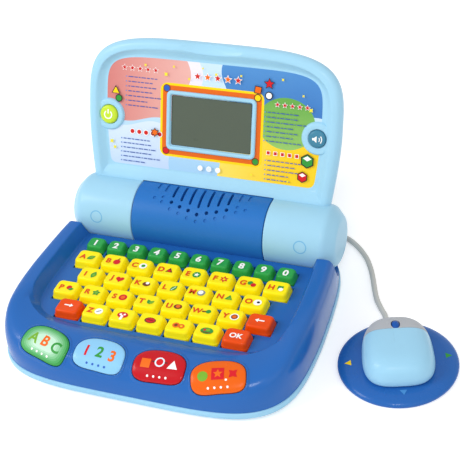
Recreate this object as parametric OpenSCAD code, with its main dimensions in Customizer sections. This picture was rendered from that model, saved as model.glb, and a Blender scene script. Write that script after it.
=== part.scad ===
// Toy laptop computer: a keyboard case with a speaker barrel, a tilting lid that
// carries the screen, forty spring keys, four mode buttons and a corded mouse on
// a round base. Millimetres, +Z up, origin on the floor under the case's centre,
// X to the user's right and Y towards the barrel.

/* [Case] */
// Half width of the case at its widest
case_half_w = 127; // [124:0.5:130]
// Distance from the centre to the front of the upper case
case_front = 105; // [103:0.5:107]
// Distance from the centre to the back wall
case_back = 107; // [106.5:0.5:109]
// Height of the parting line between the lower and the upper case
seam_z = 8; // [7:0.5:9]
// Height of the cheeks beside the keyboard
cheek_z = 43; // [42:0.5:43.5]
// Height of the front deck's crown
deck_z = 35.5; // [34:0.5:36.5]
// Height of the keyboard floor
floor_z = 30.5; // [30:0.5:31.5]
// Wall thickness of the mouldings
wall = 2.2; // [2:0.1:2.6]
// Height of the moulded feet
foot_h = 2; // [1.5:0.25:2.5]

/* [Barrel and hinge] */
// Distance of the hinge axis behind the centre
axis_y = 78; // [77.5:0.5:79]
// Height of the hinge axis
axis_z = 41; // [40.5:0.5:42]
// Radius of the barrel
barrel_r = 29; // [28.5:0.1:29.2]
// Half length of the fixed middle of the barrel
barrel_mid = 59; // [57:0.5:60]
// Half length of the whole barrel over the lid's drums
barrel_end = 119; // [117:0.5:120]
// Backward tilt of the open lid from upright
lid_tilt = 21; // [15:0.5:25]

/* [Lid] */
// Half width of the lid
lid_half_w = 113; // [111:0.5:114]
// Height of the lid's widest line above the hinge axis
lid_mid = 85; // [83:0.5:87]
// Height of the lid's top above its widest line
lid_rise = 67.5; // [66:0.5:69]
// Thickness of the lid's front moulding behind its panel
lid_half_t = 4; // [3.5:0.25:4.5]
// Thickness of the lid's back moulding
lid_back_t = 8; // [7:0.5:9]
// Half width of the screen window
lcd_half_w = 36; // [34:0.5:37]
// Height of the screen window
lcd_h = 43; // [41:0.5:44]

/* [Keys] */
// Height of the key tops
key_top = 37.5; // [37:0.25:37.75]
// Distance between neighbouring letter keys
key_pitch = 24; // [23.9:0.1:24.5]
// Distance between the rows of letter keys
row_pitch = 20.4; // [20.3:0.1:20.6]
// Place of the first row of letter keys
first_row_y = 12.8; // [12.5:0.1:13]
// Place of the row of number keys
number_row_y = 32.2; // [32:0.1:32.5]
// Distance between neighbouring number keys
number_pitch = 19; // [18.8:0.1:19.2]
// Travel of a key
key_travel = 2; // [1.5:0.25:2]

/* [Mouse] */
// Radius of the mouse's round base
disc_r = 46.7; // [45:0.1:48]
// Place of the mouse base, to the right of the case's centre
mouse_x = 188.6; // [186:0.1:192]
// Place of the mouse base, behind the case's centre
mouse_y = -11.8; // [-14:0.1:-10]
// Angle by which the mouse is turned to the left
mouse_turn = 19; // [15:1:25]
// Half width of the mouse
mouse_half_w = 28.5; // [27:0.5:29.5]
// Diameter of the mouse cord
cord_d = 4.5; // [4:0.25:5]

/* [Hidden] */

dark_blue = [0.10, 0.34, 0.66];
light_blue = [0.63, 0.84, 0.94];
yellow = [0.99, 0.86, 0.05];
green = [0.20, 0.60, 0.26];
orange = [0.89, 0.30, 0.02];
screen_grey = [0.33, 0.37, 0.31];
lime = [0.75, 0.86, 0.15];
slate = [0.25, 0.50, 0.60];
board_green = [0.10, 0.35, 0.18];
steel = [0.60, 0.62, 0.64];
cord_grey = [0.70, 0.70, 0.68];

fit = 0.3;              // gap round a part that moves or drops in
drum_gap = 0.6;         // gap between the barrel's middle and each drum
outline_n = 72;         // points round an outline of the case
pin_r = 8;              // hinge pins at the ends of the barrel's middle
pin_len = 8;
bore_r = 8.06;

// First column of each row of letter keys, from back to front
row_starts = [-3.5, -3, -3.5, -3];

// ---------------------------------------------------------------- outlines

function lerp(a, b, s) = a + (b - a) * s;
function clamp01(s) = max(0, min(1, s));
function smooth(s) = let (c = clamp01(s)) c * c * (3 - 2 * c);
function root(v, n) = sign(v) * pow(abs(v), 2 / n);
function ring_angle(i, n) = 360 * (i + 0.5) / n;

// Superellipse, squarer for a larger n
function squircle(a, b, n, t) = [a * root(cos(t), n), b * root(sin(t), n)];

// Outline of the case: rounder at the front, and narrowing towards the back
function narrowing(y, taper) = 1 - taper * pow(max(0, (y + 15) / 122), 1.3);
function case_point(t, hw, front, back, nf, nb, taper) =
    let (p = sin(t) < 0 ? squircle(hw, front, nf, t) : squircle(hw, back, nb, t))
    [p[0] * narrowing(p[1], taper), p[1]];

function wall_point(t, g) = case_point(t, case_half_w - g, case_front - g, case_back - g, 3.5, 5, 0.075);
function crest_point(t) = case_point(t, 116, 74, case_back - 9, 3.5, 5, 0.055);
function ridge_point(t, g) = case_point(t, 110.5 + g, 64 + g, 85 + g, 5, 5, 0.05);
function bed_point(t, g) = case_point(t, 105.5 + g, 62 + g, 83 + g, 5, 5, 0.05);

// The cheeks are high beside the keys and sink to the front deck
function crest_height(y) = lerp(deck_z, cheek_z, smooth((y + 72) / 36));
function ridge_height(y) = lerp(floor_z + 1.5, cheek_z - 0.4, smooth((y + 64) / 30));

function lift(p, z) = [p[0], p[1], z];

// One ring of the rounded wall between the parting line and the crest
function wall_ring(a, g) = [for (i = [0 : outline_n - 1])
    let (t = ring_angle(i, outline_n),
         m = 2.5 + 1.5 * abs(cos(t)),
         h = 1 - pow(cos(a), 2 / m),
         v = pow(sin(a), 2 / m),
         o = wall_point(t, g),
         c = crest_point(t),
         top = crest_height(c[1]) - g)
    [lerp(o[0], c[0], h), lerp(o[1], c[1], h), lerp(seam_z, top, v)]];

function low_ring(g, z) = [for (i = [0 : outline_n - 1])
    lift(wall_point(ring_angle(i, outline_n), g), z)];

function ridge_ring(g) = [for (i = [0 : outline_n - 1])
    let (p = ridge_point(ring_angle(i, outline_n), g))
    lift(p, ridge_height(p[1]) - g)];

function bed_ring(g) = [for (i = [0 : outline_n - 1])
    lift(bed_point(ring_angle(i, outline_n), g), floor_z - g)];

// Closed skin over rings of equal length, from the lowest to the highest
module loft(rings) {
    n = len(rings[0]);
    m = len(rings);
    polyhedron(
        points = [for (r = rings) for (p = r) p],
        faces = concat(
            [[for (i = [0 : n - 1]) i]],
            [for (j = [0 : m - 2]) for (i = [0 : n - 1]) let (k = (i + 1) % n)
                [j * n + i, (j + 1) * n + i, (j + 1) * n + k]],
            [for (j = [0 : m - 2]) for (i = [0 : n - 1]) let (k = (i + 1) % n)
                [j * n + i, (j + 1) * n + k, j * n + k]],
            [[for (i = [n - 1 : -1 : 0]) (m - 1) * n + i]]));
}

// Rectangle with round corners, of true arcs
module round_rect(w, d, r) {
    square([w - 2 * r, d], center = true);
    square([w, d - 2 * r], center = true);
    for (x = [-1, 1], y = [-1, 1])
        translate([x * (w / 2 - r), y * (d / 2 - r)]) circle(r, $fn = 32);
}

module along_x(length) {
    rotate([90, 0, 90]) linear_extrude(length, center = true) children();
}

module barrel_cylinder(r, length) {
    translate([0, axis_y, axis_z]) rotate([0, 90, 0])
        cylinder(r = r, h = length, center = true, $fn = 120);
}

// Both sides of the case
module both_sides() {
    children();
    mirror([1, 0, 0]) children();
}

// ---------------------------------------------------------------- keys

key_low = 24;           // underside of a key, below the keyboard floor
flange_h = 1.6;         // rim under the floor that keeps a key in
key_corner = 4;

// Cap with a round-cornered plan, sloping sides and soft top edges
module key_cap(w, d) {
    h = key_top - key_low;
    soft = 2.6;
    lean = 1.6;
    intersection() {
        linear_extrude(h) round_rect(w, d, key_corner);
        along_x(w + 1) cap_profile(d, h, soft, lean);
        rotate([0, 0, 90]) along_x(d + 1) cap_profile(w, h, soft, lean);
    }
    linear_extrude(flange_h) square([w + 1.4, d + 1.4], center = true);
}

// Side view of a cap: upright below the floor, leaning in above it
module cap_profile(w, h, soft, lean) {
    skirt = floor_z - key_low;
    arc = [for (a = [0 : 15 : 90]) [w / 2 - lean - soft + soft * cos(a), h - soft + soft * sin(a)]];
    half = concat([[w / 2, 0], [w / 2, skirt]], arc);
    polygon(concat(half, [for (i = [len(half) - 1 : -1 : 0]) [-half[i][0], half[i][1]]]));
}

letter_w = 22;
letter_d = 18;
number_w = 16.8;
number_d = 15;

function letter_place(row, column) =
    [(row_starts[row] + column) * key_pitch, first_row_y - row * row_pitch, key_low];
function number_place(column) = [(column - 4.5) * number_pitch, number_row_y, key_low];

module letter_key(row, column, tint) {
    color(tint) translate(letter_place(row, column)) key_cap(letter_w, letter_d);
}

module number_key(column) {
    color(green) translate(number_place(column)) key_cap(number_w, number_d);
}

module key_1() {
    number_key(0);
}

module key_2() {
    number_key(1);
}

module key_3() {
    number_key(2);
}

module key_4() {
    number_key(3);
}

module key_5() {
    number_key(4);
}

module key_6() {
    number_key(5);
}

module key_7() {
    number_key(6);
}

module key_8() {
    number_key(7);
}

module key_9() {
    number_key(8);
}

module key_0() {
    number_key(9);
}

module key_a() {
    letter_key(0, 0, yellow);
}

module key_b() {
    letter_key(0, 1, yellow);
}

module key_c() {
    letter_key(0, 2, yellow);
}

module key_d() {
    letter_key(0, 3, yellow);
}

module key_e() {
    letter_key(0, 4, yellow);
}

module key_f() {
    letter_key(0, 5, yellow);
}

module key_g() {
    letter_key(0, 6, yellow);
}

module key_h() {
    letter_key(0, 7, yellow);
}

module key_i() {
    letter_key(1, 0, yellow);
}

module key_j() {
    letter_key(1, 1, yellow);
}

module key_k() {
    letter_key(1, 2, yellow);
}

module key_l() {
    letter_key(1, 3, yellow);
}

module key_m() {
    letter_key(1, 4, yellow);
}

module key_n() {
    letter_key(1, 5, yellow);
}

module key_o() {
    letter_key(1, 6, yellow);
}

module key_p() {
    letter_key(2, 0, yellow);
}

module key_r() {
    letter_key(2, 1, yellow);
}

module key_s() {
    letter_key(2, 2, yellow);
}

module key_t() {
    letter_key(2, 3, yellow);
}

module key_u() {
    letter_key(2, 4, yellow);
}

module key_w() {
    letter_key(2, 5, yellow);
}

module key_y() {
    letter_key(2, 6, yellow);
}

module key_back() {
    letter_key(2, 7, orange);
}

module key_repeat() {
    letter_key(3, 0, orange);
}

module key_z() {
    letter_key(3, 1, yellow);
}

module key_picture_1() {
    letter_key(3, 2, yellow);
}

module key_picture_2() {
    letter_key(3, 3, yellow);
}

module key_picture_3() {
    letter_key(3, 4, yellow);
}

module key_picture_4() {
    letter_key(3, 5, yellow);
}

module key_ok() {
    letter_key(3, 6, orange);
}

module key_openings() {
    for (c = [0 : 9]) key_opening(number_place(c), number_w, number_d);
    for (r = [0 : 3], c = [0 : r % 2 == 0 ? 7 : 6]) key_opening(letter_place(r, c), letter_w, letter_d);
}

module key_opening(place, w, d) {
    translate([place[0], place[1], floor_z - 2 * wall])
        linear_extrude(3 * wall) round_rect(w + 2 * fit, d + 2 * fit, key_corner + fit);
}

// ---------------------------------------------------------------- mode buttons

mode_tilt = 28;         // forward slope of the front deck at the buttons
mode_w = 42;
mode_d = 26;
mode_rise = 1.8;        // how far a button stands out of the deck
mode_travel = 1.8;
mode_flange = -10;      // underside of the rim that keeps a button in
mode_rim_x = 18;        // the rim stops short of the case's walls at the sides
mode_rim_y = -9;        // and at the front
mode_places = [
    [-72.5, -90, 31.9, 15],
    [-25.1, -91.5, 32.8, 3],
    [25.1, -91.5, 32.8, -3],
    [72.5, -90, 31.9, -15]];

function mode_outline(grow) = [for (i = [0 : 31])
    let (p = squircle(mode_w / 2 + grow, mode_d / 2 + grow, 3, ring_angle(i, 32)))
    [p[0], p[1] - 0.005 * p[0] * p[0] + 1]];

// Fall of the deck away from the plane that touches it at a button
function mode_bend(p) = -0.021 * p[1] * p[1];

function mode_ring(inset, z, bent) = [for (p = mode_outline(-inset))
    [p[0], p[1], z + (bent ? mode_bend(p) : 0)]];

// Local frame of a mode button: its face in the deck, leaning to the front
module at_mode(i) {
    place = mode_places[i];
    translate([place[0], place[1], place[2]]) rotate([mode_tilt, 0, 0]) rotate([0, 0, -place[3]])
        children();
}

// Cap with a face parallel to the deck, soft edges and a retaining rim
module mode_button(i, tint) {
    color(tint) {
        intersection() {
            at_mode(i) loft([mode_ring(0, mode_flange, false), mode_ring(0, mode_rise - 0.9, true),
                mode_ring(0.9, mode_rise + 0.3, true), mode_ring(3, mode_rise + 1.6, true),
                mode_ring(6, mode_rise + 4, true)]);
            case_form(-mode_rise, 4);
        }
        at_mode(i) translate([0, 0, mode_flange]) linear_extrude(1.6) intersection() {
            polygon(mode_outline(1.2));
            translate([-mode_rim_x, mode_rim_y]) square(2 * mode_rim_x);
        }
    }
}

module mode_openings() {
    for (i = [0 : 3]) at_mode(i)
        translate([0, 0, -12]) linear_extrude(24) polygon(mode_outline(0.4));
}

module mode_button_1() {
    mode_button(0, [0.76, 0.90, 0.80]);
}

module mode_button_2() {
    mode_button(1, [0.65, 0.83, 0.93]);
}

module mode_button_3() {
    mode_button(2, [0.84, 0.11, 0.16]);
}

module mode_button_4() {
    mode_button(3, [0.95, 0.45, 0.05]);
}

// ---------------------------------------------------------------- case

module case_form(g, steps) {
    loft(concat(
        g > 0 ? [low_ring(g, seam_z - 1)] : [],
        [for (s = [0 : steps]) wall_ring(90 * s / steps, g)],
        [ridge_ring(g), bed_ring(g)]));
}

// Speaker slots and holes, in columns either side of the centre
grille_pitch = 8.3;
slot_w = 2.9;
slot_top = 100;
slot_low = [59, 63, 67, 72];
hole_angle = [47, 51.7, 56, 62];

module grille() {
    for (k = [-3 : 3]) translate([k * grille_pitch, axis_y, axis_z]) {
        low = slot_low[abs(k)];
        along_x(slot_w) slot_wedge(low, slot_top);
        rotate([-low, 0, 0]) radial_hole(slot_w / 2);
        rotate([-hole_angle[abs(k)], 0, 0]) radial_hole(1.7);
    }
}

// Sector of the barrel's wall, from a low to a high angle above the front
module slot_wedge(low, high) {
    reach = barrel_r + 4;
    polygon(concat(
        [for (a = [low, (low + high) / 2, high]) [-reach * cos(a), reach * sin(a)]],
        [for (a = [high, (low + high) / 2, low]) [-(barrel_r - 5) * cos(a), (barrel_r - 5) * sin(a)]]));
}

module radial_hole(r) {
    translate([0, -barrel_r - 3, 0]) rotate([-90, 0, 0]) cylinder(r = r, h = 8, $fn = 24);
}

// Saddles under the lid's drums, closed to the inside of the case
module saddles() {
    intersection() {
        case_form(0, 3);
        difference() {
            barrel_cylinder(barrel_r + drum_gap + wall, 2 * case_half_w);
            barrel_cylinder(barrel_r - 3, 2 * barrel_mid);
            translate([-barrel_mid + wall, 0, 0]) cube([2 * (barrel_mid - wall), 200, 100]);
        }
    }
}

speaker_tilt = 28;      // lean of the speaker towards the user
speaker_w = 40;

// Ribs inside the barrel that hold the speaker between them
module speaker_ribs() {
    both_sides() intersection() {
        translate([speaker_w / 2, axis_y - 22, axis_z - 12]) cube([2, 44, 40]);
        barrel_cylinder(barrel_r - 1, 60);
        translate([0, axis_y, axis_z]) rotate([speaker_tilt, 0, 0])
            translate([-40, -40, -8]) cube([80, 80, 24]);
    }
}

cord_exit = [70, 107, 14];
gland_r = 5;

module cord_gland() {
    translate([cord_exit[0], cord_exit[1] - 6, cord_exit[2]]) rotate([-90, 0, 0])
        cylinder(r = gland_r, h = 9, $fn = 48);
}

module cord_hole() {
    translate([cord_exit[0], cord_exit[1] - 3, cord_exit[2]]) rotate([-90, 0, 0])
        cylinder(r = cord_d / 2 + fit, h = 8, $fn = 48);
}

module upper_case() {
    color(dark_blue) difference() {
        union() {
            difference() {
                case_form(0, 6);
                case_form(wall, 3);
                barrel_cylinder(barrel_r - wall, 2 * (barrel_mid - wall));
            }
            saddles();
            difference() {
                barrel_cylinder(barrel_r, 2 * barrel_mid);
                barrel_cylinder(barrel_r - wall, 2 * (barrel_mid - wall));
                translate([-barrel_mid + wall, 0, 0]) cube([2 * (barrel_mid - wall), 200, floor_z - wall]);
            }
            both_sides() translate([barrel_mid - 1, axis_y, axis_z]) rotate([0, 90, 0])
                cylinder(r = pin_r, h = pin_len + 1, $fn = 120);
            speaker_ribs();
            cord_gland();
        }
        both_sides() drum_space();
        key_openings();
        mode_openings();
        grille();
        cord_hole();
    }
}

// Room for a drum of the lid, and the low back wall behind it
module drum_space() {
    start = barrel_mid;
    translate([0, axis_y, axis_z]) rotate([0, 90, 0]) translate([0, 0, start]) difference() {
        cylinder(r = barrel_r + drum_gap, h = 80, $fn = 120);
        translate([0, 0, -1]) cylinder(r = pin_r, h = pin_len + 1, $fn = 120);
    }
    translate([start, axis_y, 26]) cube([90, 60, 60]);
}

lower_rim = 1;          // how far the lower case stands out past the upper one
tray_w = 88;
tray_d = 58;
tray_y = 44;
board_z = 20;
post_places = [[-88, -50], [88, -50], [-88, 30], [88, 30], [0, -50]];

module foot() {
    cylinder(r = 10, h = foot_h + 0.4, $fn = 48);
}

// Lower shell, with a fifth foot under the middle that stops the deck from giving
module lower_case() {
    color(light_blue) {
        difference() {
            union() {
                difference() {
                    loft([low_ring(2, foot_h), low_ring(-1, foot_h + 0.8),
                          low_ring(-lower_rim, seam_z - 0.6), low_ring(-0.4, seam_z)]);
                    loft([low_ring(1.6, foot_h + wall), low_ring(1.6, seam_z + 1)]);
                }
                battery_tray();
            }
            door_opening();
        }
        for (p = post_places) translate([p[0], p[1], foot_h])
            cylinder(r = 3.5, h = board_z - foot_h, $fn = 32);
        both_sides() {
            translate([88, -66, 0]) foot();
            translate([92, 80, 0]) foot();
        }
        foot();
    }
}

ledge = 2;              // width of the step that the battery door rests on

module battery_tray() {
    translate([-tray_w / 2, tray_y - tray_d / 2, foot_h])
        cube([tray_w, tray_d, board_z - foot_h]);
    translate([-tray_w / 2 - 2 * ledge, tray_y - tray_d / 2 - 2 * ledge, foot_h])
        cube([tray_w + 4 * ledge, tray_d + 4 * ledge, wall + 1.6]);
}

// Room for the cells, and the stepped opening that the door drops into
module door_opening() {
    t = 1.6;
    translate([-tray_w / 2 + t, tray_y - tray_d / 2 + t, -1])
        cube([tray_w - 2 * t, tray_d - 2 * t, board_z - t + 1]);
    translate([-tray_w / 2 - ledge, tray_y - tray_d / 2 - ledge, -1])
        cube([tray_w + 2 * ledge, tray_d + 2 * ledge, foot_h + 2.6]);
}

module battery_door() {
    w = tray_w + 2 * ledge - 2 * fit;
    d = tray_d + 2 * ledge - 2 * fit;
    color(light_blue) difference() {
        translate([-w / 2, tray_y - d / 2, foot_h + 0.2]) cube([w, d, 1.4]);
        for (k = [-3 : 3]) translate([-8, tray_y - d / 2 + 6 + 1.6 * k, foot_h - 0.4])
            cube([16, 0.8, 1]);
    }
}

module circuit_board() {
    color(board_green) difference() {
        translate([-98, -60, board_z]) cube([196, 104, 1.6]);
        for (p = post_places) translate([p[0], p[1], board_z - 1])
            cylinder(r = 1.5, h = 4, $fn = 24);
    }
    color([0.15, 0.15, 0.16]) translate([-12, -26, board_z - 3]) cube([24, 10, 3]);
}

module speaker() {
    color(steel) translate([0, axis_y, axis_z]) rotate([speaker_tilt, 0, 0]) {
        difference() {
            translate([-speaker_w / 2, -17, 12]) cube([speaker_w, 34, 2]);
            translate([0, 0, 11]) cylinder(r = 15, h = 4, $fn = 64);
        }
        rotate_extrude($fn = 64)
            polygon([[0, 4], [6, 4], [15.5, 12], [15.5, 13], [12, 13], [6, 7], [0, 8]]);
        translate([0, 0, -6]) cylinder(r = 12, h = 11, $fn = 48);
    }
}

// ---------------------------------------------------------------- lid

// Lid frame: X along the hinge, Y up the lid, Z out of the lid's front
module at_lid() {
    translate([0, axis_y, axis_z]) rotate([90 - lid_tilt, 0, 0]) children();
}

lid_n = 40;             // points over the lid's rounded top
lid_foot = 24;          // where the lid's frame runs into the drums
crest_n = 4;            // height of the rim's crest over the hinge plane
panel_n = -0.5;         // height of the printed panel
bezel_n = 1.6;          // height of the screen bezel
parting_n = -lid_half_t;

function lid_side(a, y) = a - 4.5 * pow((lid_mid - y) / 48, 1.5);

// Outline of the lid, drawn in by a margin: round top, sides that close in below
function lid_outline(inset, foot) =
    let (a = lid_half_w - inset,
         b = lid_rise - inset,
         step = (lid_mid - foot) / 4)
    concat(
        [for (k = [4 : -1 : 1]) [lid_side(a, lid_mid - k * step), lid_mid - k * step]],
        [for (i = [0 : lid_n]) squircle(a, b, 4.2, 180 * i / lid_n) + [0, lid_mid]],
        [for (k = [1 : 4]) [-lid_side(a, lid_mid - k * step), lid_mid - k * step]]);

function lid_ring(inset, n, foot) = [for (p = lid_outline(inset, foot)) [p[0], p[1], n]];

print_inset = 15.5;     // margin of the printed panel inside the rim

module lid_form() {
    f = lid_foot;
    loft([lid_ring(0, parting_n, f), lid_ring(0, -1, f), lid_ring(1, 1.4, f), lid_ring(3.4, 3.4, f),
          lid_ring(6.6, crest_n, f), lid_ring(8, crest_n - 0.4, f + 9),
          lid_ring(print_inset, panel_n, f + 15.5)]);
}

module lid_hollow() {
    f = lid_foot + 8;
    loft([lid_ring(wall, parting_n - 1, f), lid_ring(wall, -1, f), lid_ring(5, 1.6, f),
          lid_ring(7.5, 1.6, f + 2), lid_ring(print_inset + 0.5, panel_n - wall, f + 8)]);
}

module slab(n0, n1) {
    translate([0, 0, n0]) linear_extrude(n1 - n0) children();
}

button_x = 93.5;
button_y = 83.3;
button_r = 9;
lcd_y = 84.2;

// Drum at each end of the barrel, with its chamfered end and its pin bore
module drum() {
    r = barrel_r;
    e = barrel_end;
    start = barrel_mid + drum_gap;
    rotate([0, 90, 0]) rotate_extrude($fn = 120) polygon([
        [bore_r, start], [r - 0.6, start], [r, start + 0.6], [r, e - 9], [r - 1.2, e - 7],
        [r - 7.4, e - 1.2], [r - 9.4, e], [0, e], [0, e - wall], [r - 10, e - wall],
        [r - wall, e - 10], [r - wall, start + 3], [bore_r, start + 3]]);
}

// Shallow oval dent in the top of the rim, to open the lid by
dent_half_l = 40;
dent_r = 12;

module grip_dent() {
    translate([0, lid_mid + lid_rise - 3, 13]) rotate([0, 90, 0]) rotate_extrude($fn = 64)
        polygon(concat([[0, -dent_half_l]],
            [for (k = [-5 : 5]) [dent_r * (1 - 0.018 * k * k), k * dent_half_l / 5]],
            [[0, dent_half_l]]));
}

module lid_front() {
    color(light_blue) at_lid() difference() {
        union() {
            difference() {
                lid_form();
                lid_hollow();
            }
            slab(panel_n - wall, bezel_n) translate([0, lcd_y])
                round_rect(2 * lcd_half_w + 8, lcd_h + 8, 4);
            both_sides() {
                slab(parting_n + 0.6, 1.6) translate([button_x, button_y]) circle(13.5, $fn = 64);
                drum();
            }
        }
        slab(-8, 8) translate([0, lcd_y]) round_rect(2 * lcd_half_w, lcd_h, 1.5);
        both_sides() {
            slab(-8, 8) translate([button_x, button_y]) circle(button_r + 0.25, $fn = 64);
        }
        rotate([0, 90, 0]) cylinder(r = barrel_r + drum_gap, h = 2 * (barrel_mid + drum_gap), center = true, $fn = 120);
        grip_dent();
    }
}

module lid_back() {
    t = lid_back_t;
    f = lid_foot;
    color(light_blue) at_lid() difference() {
        loft([lid_ring(16, parting_n - t, f), lid_ring(8, parting_n - t + 0.6, f),
              lid_ring(3, parting_n - t + 2.6, f), lid_ring(0.6, parting_n - 2.6, f),
              lid_ring(0, parting_n, f)]);
        loft([lid_ring(16, parting_n - t + wall, f + 8), lid_ring(6, parting_n - t + 3.2, f + 8),
              lid_ring(wall + 0.4, parting_n - 1.6, f + 8), lid_ring(wall, parting_n + 1, f + 8)]);
        rotate([0, 90, 0]) cylinder(r = barrel_r + drum_gap, h = 400, center = true, $fn = 120);
    }
}

// Screen: glass that stands in the window, on a wider module behind it
module display() {
    color(screen_grey) at_lid() {
        slab(-3, -0.6) translate([0, lcd_y]) round_rect(2 * lcd_half_w - 0.6, lcd_h - 0.6, 1.2);
        slab(-7, panel_n - wall) translate([0, lcd_y]) square([2 * lcd_half_w + 10, lcd_h + 10], center = true);
    }
}

module lid_button(x, tint) {
    color(tint) at_lid() translate([x, button_y, 0]) rotate_extrude($fn = 64) polygon([
        [0, -5.4], [button_r + 1, -5.4], [button_r + 1, -3.4], [button_r, -3.4],
        [button_r, 1.6], [button_r - 0.5, 2.5], [button_r - 2, 3.2], [button_r - 5, 3.6], [0, 3.8]]);
}

module power_button() {
    lid_button(-button_x, lime);
}

module volume_button() {
    lid_button(button_x, slate);
}

// ---------------------------------------------------------------- mouse

module at_mouse() {
    translate([mouse_x, mouse_y, 0]) rotate([0, 0, mouse_turn]) children();
}

disc_top = 6.4;
post_half = 6;
post_y = -3;            // the slide's post, a little behind the base's centre
slide_room = 3.3;       // the mouse moves 3 mm each way
clamp_half = 3.8;       // half the width of the block that holds the cord
mouse_low = 6.8;
mouse_top = 27;
mouse_mid = 5;          // centre of the mouse, ahead of the base's centre
mouse_half_l = 36.5;
split_y = 14.6;           // where the shell ends and the front button begins
skin = 1.8;
cord_x = -5;            // the cord comes in at the nose, left of the middle
cord_z = 8.9;

module mouse_base() {
    r = disc_r;
    color(dark_blue) at_mouse() {
        rotate([0, 0, 200]) rotate_extrude($fn = 120) polygon([
            [0, 0], [r - 2, 0], [r - 0.4, 0.6], [r, 2], [r - 0.6, 3.4], [r - 2.6, 4.8],
            [r - 6, 5.9], [r - 9, disc_top], [0, disc_top]]);
        translate([-post_half, post_y - post_half, disc_top - 1]) cube([2 * post_half, 2 * post_half, 6]);
        translate([-post_half - 2, post_y - post_half - 2, carriage_z + carriage_t + 0.4])
            cube([2 * post_half + 4, 2 * post_half + 4, 2]);
        difference() {
            translate([cord_x - clamp_half, 33, disc_top - 1]) cube([2 * clamp_half, 2.5, 6.6]);
            translate([cord_x, 30, cord_z]) rotate([-90, 0, 0])
                cylinder(r = cord_d / 2 + 0.05, h = 10, $fn = 48);
        }
    }
}

carriage_w = 40;
carriage_d = 22;
carriage_z = 6.9;
carriage_t = 3;

// Cross slide: runs sideways on the post, and carries the shell to and fro
module mouse_carriage() {
    color(steel) at_mouse() difference() {
        translate([-carriage_w / 2, post_y - carriage_d / 2, carriage_z]) cube([carriage_w, carriage_d, carriage_t]);
        translate([-post_half - slide_room, post_y - post_half - fit, carriage_z - 1])
            cube([2 * (post_half + slide_room), 2 * (post_half + fit), carriage_t + 2]);
    }
}

// Outline of the mouse: squarer behind, a little narrower and lower towards its nose
function mouse_outline(inset, z) = [for (i = [0 : 35])
    let (t = ring_angle(i, 36),
         square = sin(t) < 0 ? 3.2 : 2.6,
         p = squircle(mouse_half_w - inset, mouse_half_l - inset, square, t),
         f = (p[1] + mouse_half_l) / (2 * mouse_half_l),
         drop = 1 - 0.42 * pow(max(0, f - 0.35) / 0.65, 2))
    [p[0] * (1 - 0.14 * f * f), p[1] + mouse_mid, mouse_low + (z - mouse_low) * drop]];

module mouse_form(g) {
    loft([mouse_outline(2 + g, mouse_low - (g > 0 ? 1 : 0)), mouse_outline(0.2 + g, mouse_low + 3 - g),
          mouse_outline(0.8 + g, 14 - g), mouse_outline(3 + g, 20 - g), mouse_outline(6.6 + g, 24 - g),
          mouse_outline(11.6 + g, 26.2 - g), mouse_outline(19 + g, mouse_top - g)]);
}

wheel_y = 19.3;
wheel_z = 19.3;
wheel_r = 7;
wheel_w = 7.6;
axle_r = 1.2;

module wheel_space() {
    translate([0, wheel_y, wheel_z]) rotate([0, 90, 0])
        cylinder(r = wheel_r + 0.8, h = wheel_w + 1.2, center = true, $fn = 64);
}

// Rails beside the carriage, stops before and behind it, and the wheel's two arms
module mouse_ribs() {
    stop = carriage_d / 2 + slide_room;
    back = post_y - stop - 2;
    front = post_y + stop;
    low = mouse_low + 0.4;
    arm_x = wheel_w / 2 + 0.6;
    arm_top = wheel_z + 1.9;
    both_sides() translate([carriage_w / 2 + 0.5, back, low]) cube([4, front + 2 - back, 6]);
    for (y = [back, front]) translate([-carriage_w / 2 - 2, y, low]) cube([carriage_w + 4, 2, 4.4]);
    both_sides() difference() {
        translate([arm_x, 0, 0]) {
            translate([0, front, low]) cube([2, 4, arm_top - low]);
            translate([0, front, wheel_z - 2.4]) cube([2, wheel_y + 2.6 - front, arm_top - wheel_z + 2.4]);
        }
        translate([0, wheel_y, wheel_z]) rotate([0, 90, 0]) cylinder(r = axle_r + 0.06, h = 20, $fn = 32);
    }
}

module mouse_shell() {
    color(light_blue) at_mouse() {
        difference() {
            mouse_form(0);
            mouse_form(skin);
            translate([-60, split_y, -1]) cube([120, 60, 60]);
            wheel_space();
        }
        intersection() {
            mouse_form(skin / 2);
            mouse_ribs();
        }
    }
}

module mouse_button() {
    arch = clamp_half + slide_room + 0.2;
    color(cord_grey) at_mouse() difference() {
        mouse_form(0);
        mouse_form(skin);
        translate([-60, split_y + 0.3 - 120, -1]) cube([120, 120, 60]);
        translate([-60, -60, -1]) cube([120, 120, mouse_low + 2.4]);
        wheel_space();
        translate([cord_x - arch, 30, 0]) cube([2 * arch, 20, cord_z + cord_d / 2 + 1.4]);
    }
}

// Thumb wheel with a rounded tread, on a short axle
module mouse_wheel() {
    half = wheel_w / 2;
    color(dark_blue) at_mouse() translate([0, wheel_y, wheel_z]) rotate([0, 90, 0]) {
        rotate_extrude($fn = 64) polygon([
            [0, -half], [wheel_r - 2.4, -half], [wheel_r - 1, -half + 0.8], [wheel_r - 0.2, -half + 2.2],
            [wheel_r, 0], [wheel_r - 0.2, half - 2.2], [wheel_r - 1, half - 0.8], [wheel_r - 2.4, half],
            [0, half]]);
        cylinder(r = axle_r, h = wheel_w + 5, center = true, $fn = 32);
    }
}

// ---------------------------------------------------------------- cord

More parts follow.
